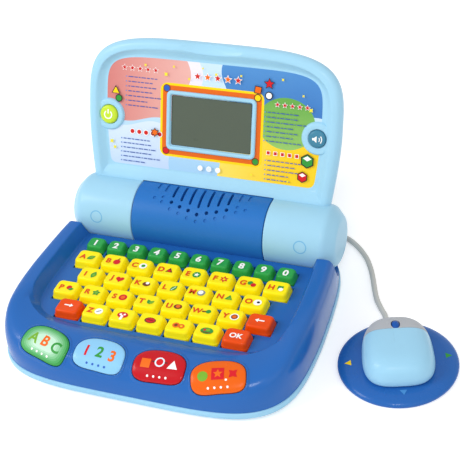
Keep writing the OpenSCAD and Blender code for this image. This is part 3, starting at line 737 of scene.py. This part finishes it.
def glyph(text, size, bold, cx=0.0, cy=0.0):
    """Flat outline letters or digits, with their middle at (cx, cy)."""
    c = bpy.data.curves.new("text", "FONT")
    c.body = text
    c.size = size
    c.offset = bold * size
    c.resolution_u = 6
    c.align_x = "CENTER"
    o = new_object("text", c)
    dg = bpy.context.evaluated_depsgraph_get()
    me = o.evaluated_get(dg).to_mesh()
    xs, ys = ([v.co[i] for v in me.vertices] for i in (0, 1))
    mx, my = (min(xs) + max(xs)) / 2, (min(ys) + max(ys)) / 2
    verts = [(x - mx + cx, y - my + cy) for x, y in zip(xs, ys)]
    faces = [tuple(p.vertices) for p in me.polygons]
    bpy.data.objects.remove(o)
    bpy.data.curves.remove(c)
    return verts, faces


def print_on(name, items, lift, body, step=0.025, limit=None):
    """Printed marks, each an ink with points or a shape, lifted on to a flat or curved surface."""
    shapes = [shape if isinstance(shape, tuple) else fan(shape) for _, shape in items]
    if limit:
        shapes = [refine(shape, limit) for shape in shapes]
    verts = [lift(x, y, 0.05 + step * k) for k, (v, _) in enumerate(shapes) for x, y in v]
    obj = mesh_object(name, verts, join(shapes)[1])
    inks = list(dict.fromkeys(colour for colour, _ in items))
    for colour in inks:
        obj.data.materials.append(INK[colour])
    slots = [inks.index(colour) for (colour, _), (_, f) in zip(items, shapes) for _ in f]
    obj.data.polygons.foreach_set("material_index", slots)
    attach(obj, body)


def refine(shape, limit):
    """Splits edges longer than a limit, so that a print can follow a curved face."""
    v, f = shape
    bm = bmesh.new()
    vs = [bm.verts.new((x, y, 0)) for x, y in v]
    for q in f:
        try:
            bm.faces.new([vs[i] for i in q])
        except ValueError:
            pass
    bmesh.ops.triangulate(bm, faces=bm.faces[:])
    for _ in range(3):
        long = [e for e in bm.edges if e.calc_length() > limit]
        if not long:
            break
        bmesh.ops.subdivide_edges(bm, edges=long, cuts=1, use_grid_fill=False)
        bmesh.ops.triangulate(bm, faces=bm.faces[:])
    bm.verts.index_update()
    out = [(w.co.x, w.co.y) for w in bm.verts], [tuple(w.index for w in p.verts) for p in bm.faces]
    bm.free()
    return out


# ---- keys

# One small plain picture for each letter key, and one for each picture key.
PICTURES = {
    "a": [("green", leaf(0, 0, 3.2, 35)), ("leaf", leaf(0.3, 0.2, 2.0, 35))],
    "b": [("red", disc(0, -0.3, 2.5)), ("brown", bar(0, 2, 0.8, 3.4, 0.7))],
    "c": [("white", disc(0, 0, 2.7)), ("green", disc(0.2, 0.1, 1.4))],
    "d": [("brown", poly(0, -0.4, 2.9, 3)), ("red", disc(0, -0.7, 1.1))],
    "e": [("green", disc(0, 0, 2.8)), ("white", star(0, 0, 2.0))],
    "f": [("red", star(0, 0, 3.2, 6, 0.5)), ("yellow", disc(0, 0, 1.0))],
    "g": [("green", disc(-1.2, 0.6, 1.8)), ("red", disc(1.3, -0.9, 1.8))],
    "h": [("green", poly(0, 0.6, 2.6, 4, 45)), ("white", disc(0.6, -0.8, 1.6))],
    "i": [("green", leaf(0, 0, 3.3, 80)), ("leaf", leaf(0.2, -0.2, 1.9, 80))],
    "j": [("red", heart(0, 0, 2.9))],
    "k": [("brown", disc(0, -0.4, 2.7, 2.0)), ("white", disc(0.5, 0.6, 1.2))],
    "l": [("green", leaf(0, 0, 3.2, 60)), ("white", bar(-1, -1.6, 1, 1.6, 0.5))],
    "m": [("grey", disc(0, 0, 2.7)), ("white", disc(-0.4, 0.4, 1.8))],
    "n": [("green", poly(0, -0.4, 3.0, 3)), ("leaf", disc(0.4, -0.9, 1.2))],
    "o": [("white", disc(0, 0, 2.7)), ("dark", disc(0.5, 0.2, 1.0))],
    "p": [("red", disc(-0.6, 0.5, 1.9)), ("green", leaf(1.1, -0.8, 2.0, 20))],
    "r": [("green", star(0, 0, 2.9, 5, 0.6)), ("leaf", disc(0, 0, 1.2))],
    "s": [("red", disc(0, 0, 2.8)), ("orange", disc(0, 0, 1.5))],
    "t": [("green", leaf(-0.8, 0, 2.4, 120)), ("leaf", leaf(1.0, 0, 2.2, 50))],
    "u": [("brown", disc(0, 0.3, 2.8, 2.2)), ("orange", disc(0, 0.6, 1.5))],
    "w": [("brown", bar(-2, 0, 2, 0.6, 1.2)), ("green", disc(1.6, 0.6, 1.7))],
    "y": [("white", disc(0, 0, 3.0)), ("brown", disc(0, 0, 2.2)), ("orange", disc(0, 0, 1.4))],
    "z": [("white", disc(0, 0, 2.7)), ("grey", bar(-1, -0.6, 1, 0.8, 0.8))],
    "picture_1": [("red", disc(0, 0.6, 3.6, 2.7)), ("white", disc(-1.4, 0.8, 0.9)),
                  ("white", disc(1.2, 1.2, 0.8)), ("white", bar(0, -0.6, 0, -3.0, 1.8))],
    "picture_2": [("brown", disc(0, 0.2, 3.8, 2.6)), ("red", disc(0.2, 0.2, 2.9, 2.0)),
                  ("dark", bar(-2, 0.6, 2.2, 0.0, 0.5))],
    "picture_3": [("orange", disc(-1.6, 0.2, 2.3)), ("brown", disc(-1.6, 0.2, 1.1)),
                  ("orange", disc(2.2, -0.1, 2.0)), ("yellow", disc(2.2, -0.1, 0.8))],
    "picture_4": [("green", disc(0, 0, 4.2, 2.8)), ("red", disc(-1.6, 0.6, 1.0)),
                  ("leaf", disc(0.6, 0.9, 1.4)), ("brown", bar(-3, -1.6, 3, -1.6, 0.7))],
}
PICTURE_SIZE, PICTURE_X, LETTER_X = 1.25, 3.3, -4.1
# How far the key's outline is drawn in, and at what height.
KEY_ROWS = spline([
    (0, KEY_LOW), (0, FLOOR + 0.4), (0.3, FLOOR + 1.6), (0.9, KEY_TOP - 2.3),
    (1.15, KEY_TOP - 1.4), (1.6, KEY_TOP - 0.6), (2.2, KEY_TOP - 0.12), (2.8, KEY_TOP),
    (3.5, KEY_TOP - 0.06), (5.6, KEY_TOP - 0.3)])


def key_print(short):
    """What a key's top shows, and how far it lies towards the user from the middle."""
    if short.isdigit():
        return [("white", glyph(short, 9.4, 0.034))], 0.8
    if short == "ok":
        return [("white", glyph("OK", 7.0, 0.03))], 0.4
    if short in ("back", "repeat"):
        angle = 180 if short == "back" else 0
        shapes = bar(-3.2, 0, 1.6, 0, 1.3), [(1.2, -2.1), (4.0, 0), (1.2, 2.1)]
        return [("white", spun(p, angle)) for p in shapes], 0.0
    letter = len(short) == 1
    dx = PICTURE_X if letter else 0
    items = [(c, [(PICTURE_SIZE * x + dx, PICTURE_SIZE * y) for x, y in p])
             for c, p in PICTURES[short]]
    if letter:
        items.append(("letter", glyph(short.upper(), 7.6, 0.036, LETTER_X)))
    return items, 0.9


def key(name, cx, cy, w, d, tint):
    rings = []
    for k, z in KEY_ROWS:
        r = min(max(1.2, 4.0 - k * 0.35), (min(w, d) - 2 * k) / 2 - 0.05)
        rings.append([(cx + x, cy + y, z) for x, y in rounded(w - 2 * k, d - 2 * k, r, 7)])
    add(name + "_cap", loft(rings), tint, name, 50, name)
    items, low = key_print(name[4:])
    print_on(name + "_print", items,
             lambda x, y, n: (cx + x, cy + y - low, KEY_TOP + n - 0.1), name)


for name, centre, size, tint in KEYS:
    key(name, *centre, *size, tint)


# ---- mode buttons

DECK_TREE = BVHTree.FromPolygons(*DECK_SHAPE)
MODE_TINTS = ["mint", "sky", "red", "tangerine"]
RAY_FROM = 25           # height over a button's plane from which the deck is looked for
FLAT_BELOW = -6         # a ring lower than this is flat and doesn't follow the deck


def deck_drop(m, x, y):
    """Height of the deck over a button's own plane, along that plane's normal."""
    _, _, _, depth = DECK_TREE.ray_cast(m @ Vector((x, y, RAY_FROM)), -m.col[2].xyz)
    return RAY_FROM - depth if depth else 0.0


def deck_loft(m, rows, caps=True):
    """Skin of rings that follow the deck at a distance, from (growth, rise) rows."""
    rings = []
    for grow, rise in rows:
        outline = mode_outline(grow, 120)
        rings.append(place(m, [(x, y, rise + (deck_drop(m, x, y) if rise > FLAT_BELOW else 0))
                               for x, y in outline]))
    return loft(rings, caps)


def dots(colour):
    return [(colour, disc(x, -8.2, 0.9)) for x in (-7.5, -2.5, 2.5, 7.5)]


def three(text, inks, y):
    """Three large letters or digits, the middle one a little higher."""
    return [(c, glyph(t, 12, 0.03, x, y + (x == 0))) for t, c, x in zip(text, inks, (-11, 0, 11))]


def glow(k):
    """The mint button's outline, drawn in by as many steps as its ink is lighter."""
    s = 0.94 - 0.09 * k
    return "mint_%d" % k, [(x * s, (y - 1) * s + 1) for x, y in mode_outline(0, 48)]


MODE_ART = [
    [glow(k) for k in range(GLOW_STEPS)] + three("ABC", ("leaf", "orange", "green"), 1)
    + dots("white"),
    three("123", ("red", "green", "orange"), 1.5) + dots("blue"),
    [("orange", poly(-11, 1.5, 5.2, 4, 45)), ("dark", bar(-6, 3.5, 6, 3.5, 0.8)),
     ("pale", disc(0, 3.5, 4.0)), ("red", disc(0, 3.5, 2.8)), ("white", poly(11, 1.5, 4.8, 3))]
    + dots("white"),
    [("leaf", disc(-11.5, 1.0, 4.0)), ("red", poly(0, 2.5, 6.8, 4, 45)),
     ("orange", star(0, 2.5, 3.8)), ("red", star(11.5, 2.0, 4.6, 4, 0.5, 45)),
     ("white", disc(6.4, -2.8, 0.9))] + dots("white")]


def mode_button(i):
    m = mode_frame(i)
    body = "mode_button_%d" % (i + 1)
    cap = [(0, -7.5), (0, -2.5)]
    cap += spline([(0, 0.2), (0, 0.7), (-0.35, 1.15), (-1.0, 1.5), (-2.4, 1.7), (-5, 1.75)])
    cap += [(-8, 1.75), (-10.5, 1.75)]
    add(body + "_cap", deck_loft(m, cap), MODE_TINTS[i], body, 50, body)
    rim = spline([(0.45, -0.6), (0.45, 0.25), (0.8, 0.62), (1.4, 0.66), (2.0, 0.4), (2.7, -0.12)])
    add(body + "_rim", deck_loft(m, rim, False), "deep_blue", "case", 60)
    print_on(body + "_print", MODE_ART[i],
             lambda x, y, n: m @ Vector((x, y, deck_drop(m, x, y) + 1.74 + n)), body, limit=2.2)


for i in range(4):
    mode_button(i)


# ---- lid: print, frame and bezel

LABEL_UNIT = 100        # millimetres to one unit of the label's own coordinates


def panel_material():
    """Printed label: soft-edged fields of colour divided by waves and one round hill."""
    mat = plastic("panel_print", (178, 216, 244), 0.22, 0.4, vary=0.0, bump=0.008)
    nt = mat.node_tree

    def op(kind, a, b=0.0):
        return math_node(nt, kind, a, b)

    def wave(axis, size, length, phase, offset):
        """An edge that waves along one axis, round an offset."""
        angle = op("+", op("/", axis, length), phase)
        return op("+", op("*", op("SINE", angle), size), offset)

    map_node = nt.nodes.new("ShaderNodeUVMap")
    map_node.uv_map = "label"
    uv = map_node.outputs["UV"]
    split = nt.nodes.new("ShaderNodeSeparateXYZ")
    nt.links.new(uv, split.inputs["Vector"])
    u, v = (op("*", split.outputs[axis], LABEL_UNIT) for axis in "XY")
    minus_u, minus_v = op("*", u, -1), op("*", v, -1)
    unrest = op("*", node(nt, "TexNoise", {"Scale": 3.0, "Vector": uv}), 14)

    def tint(rgb, pale, start, end, axis):
        """A colour that runs into a paler one along an axis."""
        share = node(nt, "MapRange", {"From Min": start, "From Max": end,
                                      "Value": op("+", axis, unrest)})
        return mix_node(nt, share, srgb(*rgb), srgb(*pale))

    def area(*edges):
        """1 where the first value of every pair is under the second."""
        first, second = (op("<", a, b) for a, b in edges)
        return op("*", first, second)

    from_wave = op("-", u, wave(v, 5, 9, 0.4, 0))
    beside = area((u, wave(v, 5, 9, 0.4, -13)), (-24, from_wave))
    across, up = op("-", u, 66), op("*", op("-", v, 92), 1.15)
    reach = op("SQRT", op("+", op("POWER", across, 2), op("POWER", up, 2)))
    colour = tint((160, 206, 240), (200, 226, 248), 40, 120, v)
    for mask, *run in (
            (area((u, wave(v, 5, 9, 0.4, -24)), (wave(u, 3, 10, 0.0, 82), v)),
             (206, 116, 112), (232, 178, 170), -100, -10, u),
            (op("*", beside, op("<", 96, v)), (222, 214, 240), (236, 232, 248), 80, 140, v),
            (area((wave(v, 4, 8, 1.0, 12), u), (wave(u, 4, 13, 0.8, 96), v)),
             (42, 100, 178), (84, 146, 208), 80, 150, v),
            (area((wave(v, 3, 9, 2.0, 6), u), (v, wave(u, 4, 12, 2.2, 80))),
             (250, 208, 34), (252, 232, 120), -60, 40, minus_u),
            (op("<", reach, 25), (84, 158, 64), (158, 204, 110), -120, -50, minus_v),
            (area((u, wave(v, 4, 10, 0.0, -34)), (v, wave(u, 3, 9, 1.2, 78))),
             (184, 208, 240), (214, 230, 250), 30, 90, v)):
        colour = mix_node(nt, mask, colour, tint(*run))
    nt.links.new(colour, nt.nodes["Principled BSDF"].inputs["Base Color"])
    return mat


def soft_foot(pts, r):
    """Rounds the two lower corners of an outline that runs from the right one to the left one."""
    a, b = Vector(pts[0]), Vector(pts[-1])
    right, left = fillet([b, a, pts[1]], {1: r}, 8), fillet([pts[-2], b, a], {1: r}, 8)
    middle = [p for p in pts[1:-1] if min((Vector(p) - a).length, (Vector(p) - b).length) > r]
    return right[1:-1] + middle + left[1:-1]


def panel():
    """The printed label that fills the recess round the screen."""
    open_foot = lid_outline(16.9, 40.7)[:1 - FOOT_STEPS]
    label = prism(LID, soft_foot(open_foot, 6), PANEL_N - 0.2, PANEL_N + 0.04)
    holes = [prism(LID, disc(s * BUTTON_U, BUTTON_V, 9.6, n=48), -4, 4) for s in (-1, 1)]
    M["panel_print"] = panel_material()
    label = carved("panel_label", label, "panel_print", [window_room(4), join(holes)], "lid", 30)
    to_lid = LID.inverted()
    uv = label.data.uv_layers.new(name="label")
    for loop in label.data.loops:
        q = to_lid @ (label.data.vertices[loop.vertex_index].co / MM)
        uv.data[loop.index].uv = (q.x / LABEL_UNIT, q.y / LABEL_UNIT)


def on_panel(x, y, n):
    """Puts a mark on the lid's panel, a hair over it."""
    return LID @ Vector((x, y, PANEL_N + n))


def bezel():
    """Orange printed frame with a yellow edge, the blue surround of the window, and the screen."""
    frame_y, corner_u, corner_v = 84.1, 40.6, 27
    inner = rounded(LCD_W + 5, LCD_H + 5, 3, cy=LCD_Y)
    items = [(c, band(rounded(w, h, r, cy=frame_y), inner))
             for c, w, h, r in (("yellow", 92.5, 63.5, 6.4), ("frame", 88.4, 59.4, 5))]
    for su, sv, c in ((-1, -1, "red"), (1, -1, "green"), (-1, 1, "blue"), (1, 1, "yellow")):
        u, v = su * corner_u, frame_y + sv * corner_v
        items += [("brown", disc(u, v, 3.3)), (c, disc(u, v, 2.5))]
    print_on("screen_frame_print", items, on_panel, "lid")

    def window(grow, r, n):
        return level(LID, rounded(LCD_W + grow, LCD_H + grow, r, cy=LCD_Y), n)
    rows = [(0, -1.6), (0, 0.5), (0.35, 1.2), (1.1, 1.6), (2.3, 1.6), (3.0, 1.25), (3.5, 0.4),
            (4.0, -0.9), (4.05, -2.6)]
    rings = [window(8.1 - 2 * k, max(1.2, 4.4 - k * 0.8), n) for k, n in spline(rows)]
    add("screen_bezel", loft(rings, False), "light_blue", "lid", 45)
    glass = [window(-0.6, 1.4, -3.0), window(0.4, 1.4, -0.75)]
    add("screen_glass", loft(glass), "screen", "lid", 30)
    edge = [window(-k, 1.2, -0.72) for k in (0, 2.4)]
    add("screen_edge", loft(edge, False), "lcd_edge", "lid", 30)


def text_line(u, v, length, k):
    """A line of small dashes of uneven length, which stands for a line of fine print."""
    out, x, i = [], 0.0, 0
    while x < length - 1.5:
        w = 2.4 + 1.1 * math.sin(5.1 * k + 2.3 * i) + 0.9 * math.sin(1.7 * k + 4.4 * i)
        w = min(w, length - x)
        out.append(("line", bar(u + x, v, u + x + w, v, 0.75)))
        x += w + 1.5
        i += 1
    return out


def text_block(u, v, lengths, gap):
    """Lines of dashes, each behind a small point."""
    items = []
    for i, length in enumerate(lengths):
        items.append(("ring", disc(u - 2.2, v - gap * i, 0.6, n=10)))
        items += text_line(u, v - gap * i, length, i + 0.37 * u)
    return items


def row_of(shape, inks, u, v, pitch, r):
    """Marks in a row, each with a white edge."""
    return [(ink, shape(u + pitch * i, v, q)) for i, c in enumerate(inks)
            for ink, q in (("white", r * 1.32), (c, r))]


def edged(shape, c, u, v, outer, inner, *form):
    """A mark on a larger dark one of the same form."""
    return [("dark", shape(u, v, outer, *form)), (c, shape(u, v, inner, *form))]


def cube(u, v, s, c):
    side = s * 0.8
    top = [(u - side, v + s * 0.36), (u, v + s * 0.84), (u + side, v + s * 0.36), (u, v - s * 0.1)]
    return edged(poly, c, u, v - 0.1 * s, s * 1.35, s * 1.12, 6) + [("white", top)]


def dot(x, y, r):
    return disc(x, y, r, n=20)


def square(x, y, r):
    return poly(x, y, r * 1.1, 4, 45)


# Heading: shape, left, height, pitch and size. Text: left, top, lengths of lines and their gap.
TEXTS = [
    (star, -80, 125, 7.2, 2.3, -76, 117.5, (26, 22, 28, 24, 30, 20, 27), 4.1),
    (dot, -72, 70.5, 6.4, 1.9, -80, 63.5, (24, 28, 30, 26, 34, 22), 3.9),
    (star, 58, 107.5, 6.4, 2.1, 50, 100.5, (26, 28, 34, 22, 26, 24, 30), 4.0),
    (square, 52, 66.5, 6.2, 1.7, 52, 60, (28, 24, 26, 20, 22), 4.0)]
SPARKS = [
    (-60, 129, 1.0), (-41, 123, 1.5), (-34, 130, 0.9), (-90, 92.5, 1.2), (-91, 60, 1.5),
    (-88, 55, 1.3), (26, 128, 0.9), (62, 128.5, 1.0), (87, 106, 1.5), (80, 117, 0.9),
    (38, 46, 1.0), (70, 44.5, 0.9), (-20, 121, 1.0), (4, 127, 1.1), (-8, 131, 0.8)]


def panel_marks():
    items = []
    for shape, u, v, pitch, r, *text in TEXTS:
        items += row_of(shape, ["head"] * 5, u, v, pitch, r) + text_block(*text)
    items += [("dark", poly(-87.5, 104.5, 4.6, 3)), ("yellow", poly(-87.5, 104.3, 3.5, 3)),
              *edged(disc, "green", -84.6, 98.2, 3.3, 2.5),
              *edged(poly, "orange", 41, 118, 4.4, 3.5, 4, 38),
              *edged(star, "red", 50.5, 124, 5.2, 4.0),
              *edged(disc, "white", 50.6, 114.2, 3.3, 2.5),
              *cube(86, 64, 4.6, "green"), *cube(82.5, 50, 3.6, "red"),
              *edged(star, "orange", -50.5, 72, 4.4, 3.3, 6, 0.55)]
    items += [("spark", star(x, y, r * 1.5, 4, 0.5, 45)) for x, y, r in SPARKS]
    items += row_of(star, ["head", "orange", "head", "orange", "head"], -12.5, 124, 9, 3.0)
    items += row_of(dot, ["white", "pale", "white"], -8, 46, 8, 1.8)
    print_on("panel_marks", items, lambda x, y, n: on_panel(x, y, n + 0.05), "lid", 0.006)


def button_loft(side, rows, caps=True):
    """Skin of circles round one of the buttons beside the screen, from (radius, height) rows."""
    return loft([level(LID, disc(side * BUTTON_U, BUTTON_V, r, n=72), n) for r, n in spline(rows)],
                caps)


def lid_button(side, name, tint, marks, r):
    rows = [(10, -5.2), (10, -3.5), (r, -3.4), (r, 1.2), (0.972 * r, 2.2), (0.878 * r, 2.95),
            (0.689 * r, 3.4), (0.4 * r, 3.62), (0.133 * r, 3.7)]
    add(name + "_cap", button_loft(side, rows), tint, name, 40, name)

    def lift(x, y, n):
        a = 9 * math.hypot(x, y) / r
        drop = 0.0 if a < 2 else 0.0105 * (a - 1.2) ** 2
        return LID @ Vector((side * BUTTON_U + x, BUTTON_V + y, 3.7 - drop + n))
    print_on(name + "_print", marks, lift, name, limit=1.2)


def lid_buttons():
    """The two buttons beside the screen, in collars that run out into the rim."""
    for s, name, r in ((-1, "power", POWER_R + 0.25), (1, "volume", VOLUME_R + 0.25)):
        rows = [(r, -2.6), (r, 0.6), (r + 0.35, 1.25), (r + 1.15, 1.6), (12.0, 1.6), (13.0, 1.1),
                (13.7, 0.1), (14.1, -0.9)]
        add(name + "_collar", button_loft(s, rows, False), "light_blue", "lid", 50)
    power = [("white", arc_band(3.4, 1.1, 125, 415)), ("white", bar(0, 1.4, 0, 4.2, 1.1))]
    horn = [(-3.6, -1.0), (-2.2, -1.0), (0.2, -2.8), (0.2, 2.8), (-2.2, 1.0), (-3.6, 1.0)]
    waves = arc_band(2.6, 0.7, -38, 38), arc_band(4.4, 0.8, -40, 40)
    volume = [("white", p) for p in (horn, *waves)]
    lid_button(-1, "power_button", "lime", power, POWER_R)
    lid_button(1, "volume_button", "slate", volume, VOLUME_R)


def lid_back():
    rows = spline([(24, -12.0, 26), (16, -12.0, 24.6), (8.5, -11.35, 24), (3.5, -9.3, 24),
                   (1.0, -6.7, 24), (0.1, -4.7, 24), (0.5, -4.1, 24)], 4)
    barrel_room = turned([(BAR_R + DRUM_GAP, -130), (BAR_R + DRUM_GAP, 130)], 160)
    carved("lid_back_shell", lid_loft(rows), "light_blue", [barrel_room], "lid", 35, "lid_back")


def drum_marks():
    """A fine raised ring on the front of each drum."""
    v, f = arc_band(5.2, 0.9, 0, 360, 48)
    middle = math.degrees(math.asin((50 - AX_Z) / BAR_R))
    for s, side in ((-1, "left"), (1, "right")):
        pts = [around(BAR_R + 0.05, middle + math.degrees(y / BAR_R), s * 92 + x) for x, y in v]
        add("drum_ring_" + side, (pts, f), "light_mark", "lid", 30)


panel()
bezel()
panel_marks()
lid_buttons()
lid_back()
drum_marks()


# ---- mouse

MOUSE_X, MOUSE_Y, MOUSE_TURN, DISC_TOP = 188.6, -11.8, 19, 6.4
MOUSE_LOW, MOUSE_MID, MOUSE_L, MOUSE_W, SPLIT = 6.8, 5, 36.5, 28.5, 14.6
WHEEL_Y, WHEEL_Z, WHEEL_R, WHEEL_HALF, CORD_X, CORD_Z = 19.3, 19.3, 7, 3.8, -5, 8.9
CLAMP_HALF, ARCH_HALF = 3.8, 7.4        # half widths of the cord's block and of the way over it
MOUSE = Matrix.Translation((MOUSE_X, MOUSE_Y, 0)) @ turn(MOUSE_TURN, "Z")


def in_mouse(shape):
    return place(MOUSE, shape[0]), shape[1]


def mouse_disc():
    """The base, with the post and head that the mouse slides on and the block for the cord."""
    rows = [(10, 0.0)]
    rows += spline([(46.0, 0.01), (46.5, 0.8), (46.64, 2.0), (46.2, 3.3), (44.4, 4.7),
                    (41.4, 5.8), (38.2, 6.32), (36.0, DISC_TOP), (30, DISC_TOP)], 5)
    rows += [(8, DISC_TOP)]
    plate = loft([level(MOUSE, disc(0, 0, r, n=144), z) for r, z in rows])
    post, head = box(-6, 6, -9, 3, 6, 11.4), box(-8, 8, -11, 5, 10.3, 12.3)
    block = box(CORD_X - CLAMP_HALF, CORD_X + CLAMP_HALF, 33, 35.5, 6, 12)
    add("mouse_disc", join([plate] + [in_mouse(b) for b in (post, head, block)]), "disc_blue",
        "case", 40, "mouse_base")


def disc_arrows():
    marks, size = [], 2.9
    tips = ("green", 38.8), ("head", 38.5), ("yellow", 38.3), ("arrow_blue", 35.5)
    for k, (c, r) in enumerate(tips):
        head = [(r + size, 0), (r - size * 0.75, size), (r - size * 0.75, -size)]
        marks.append((c, spun(head, 21 + 90 * k - MOUSE_TURN)))

    def lift(x, y, n):
        r = math.hypot(x, y)
        z = DISC_TOP if r < 36 else DISC_TOP - 0.0175 * (r - 36) ** 2
        return MOUSE @ Vector((x, y, z + n))
    print_on("disc_arrows", marks, lift, "case", limit=1.2)


def mouse_outline(inset, z, n=160):
    """Ring of the mouse's body, which is lower and narrower towards its nose."""
    out = []
    for i in range(n):
        t = FULL * (i + 0.5) / n
        x, y = squircle(MOUSE_W - inset, MOUSE_L - inset, 3.2 if math.sin(t) < 0 else 2.6, t)
        f = (y + MOUSE_L) / (2 * MOUSE_L)
        drop = 1 - 0.42 * (max(0, f - 0.35) / 0.65) ** 2
        out.append((x * (1 - 0.14 * f * f), y + MOUSE_MID, MOUSE_LOW + (z - MOUSE_LOW) * drop))
    return out


def knob(r, half, n, power=2.3, steps=24):
    """The ball-like knob on its axle."""
    rows = []
    for i in range(steps + 1):
        x = -0.985 + 1.97 * i / steps
        rows.append((r * (1 - abs(x) ** power) ** (1 / power), half * x))
    return in_mouse(turned(rows, n, WHEEL_Y, WHEEL_Z))


def mouse_body(name, mat, body, stands_for, tools):
    """One part of the mouse: the whole form without what the tools and its insides take away."""
    rows = spline([(2.4, 6.8), (0.7, 7.6), (0.2, 9.8), (0.7, 14), (2.7, 19.6), (6.2, 23.6),
                   (11.6, 26.0), (18.5, 26.9), (26, 27)], 5)
    inside = box(-23, 23, -18.5, 12.5, 6, 13.4)
    cutters = [in_mouse(b) for b in tools + [inside]] + [knob(WHEEL_R + 0.8, WHEEL_HALF + 0.6, 64)]
    carved(name, loft([place(MOUSE, mouse_outline(i, z)) for i, z in rows]), mat, cutters, body, 35,
           stands_for)


def mouse():
    ahead = box(-60, 60, SPLIT, 90, -5, 60)
    behind = box(-60, 60, -90, SPLIT + 0.3, -5, 60)
    low = box(-60, 60, -60, 60, -5, MOUSE_LOW + 2.4)
    arch = box(CORD_X - ARCH_HALF, CORD_X + ARCH_HALF, 30, 60, -5, CORD_Z + 3.65)
    mouse_body("mouse_hood", "mouse_blue", "mouse", "mouse_shell", [ahead])
    mouse_body("mouse_nose", "grey", "mouse_button", "mouse_button", [behind, low, arch])
    add("wheel_tread", knob(WHEEL_R, WHEEL_HALF, 72), "wheel_blue", "mouse_wheel", 50,
        "mouse_wheel")


mouse_disc()
disc_arrows()
mouse()


# ---- nodes that keep their own shape

for name, mat in (("battery_door", "rim_blue"), ("circuit_board", "board"), ("speaker", "steel"),
                  ("display", "screen"), ("mouse_carriage", "grey")):
    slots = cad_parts[name].data.materials
    slots.clear()
    slots.append(M[mat])


# ---- stage

FLOOR_HALF, FLOOR_GREY, FLOOR_GLOW = 6000, 0.95, 0.32
SKY_LIGHT, SKY_SEEN = 0.66, 1.0         # strength on the object, and of what is seen
# Name, place, aim, width (in metres) and watts.
LIGHTS = [("key", (-1.3, -0.8, 1.35), (0, 0, 0.03), 0.8, 16),
          ("flash", (0.45, -1.25, 1.35), (0.05, 0, 0.03), 0.4, 7),
          ("fill", (1.4, -0.9, 0.9), (0, 0, 0.05), 1.0, 2)]


def lamps():
    for name, at, aim, size, power in LIGHTS:
        lamp = bpy.data.lights.new(name, "AREA")
        lamp.energy, lamp.shape = power, "RECTANGLE"
        lamp.size = lamp.size_y = size
        obj = new_object(name, lamp)
        obj.location = at
        obj.rotation_euler = (Vector(aim) - Vector(at)).to_track_quat("-Z", "Y").to_euler()


def seen_ray(nt):
    """1 for a ray that shows the background: the camera's, a reflection's or one through glass."""
    path = nt.nodes.new("ShaderNodeLightPath")
    total = path.outputs["Is Camera Ray"]
    for name in ("Is Glossy Ray", "Is Transmission Ray"):
        total = math_node(nt, "+", total, path.outputs[name])
        total.node.use_clamp = True
    return total


def sky():
    world = bpy.data.worlds.new("world")
    bpy.context.scene.world = world
    world.use_nodes = True
    nt = world.node_tree
    seen = seen_ray(nt)
    strength = node(nt, "MapRange", {"To Min": SKY_LIGHT, "To Max": SKY_SEEN, "Value": seen})
    wire_all(nt, nt.nodes["Background"], {"Color": (1, 1, 1, 1), "Strength": strength})


def ground():
    """White floor that keeps the shadow, and shows the background's white to what looks at it."""
    corners = [(x * FLOOR_HALF, y * FLOOR_HALF, 0) for x, y in ((-1, -1), (1, -1), (1, 1), (-1, 1))]
    floor = mesh_object("floor", corners, [(0, 1, 2, 3)])
    mat = bpy.data.materials.new("floor")
    mat.use_nodes = True
    nt = mat.node_tree
    wire_all(nt, nt.nodes["Principled BSDF"], {
        "Base Color": (FLOOR_GREY, FLOOR_GREY, FLOOR_GREY, 1), "Roughness": 0.7,
        "Emission Color": (1, 1, 1, 1),
        "Emission Strength": math_node(nt, "*", seen_ray(nt), FLOOR_GLOW)})
    floor.data.materials.append(mat)


lamps()
sky()
ground()
bpy.context.scene.view_settings.view_transform = "Standard"
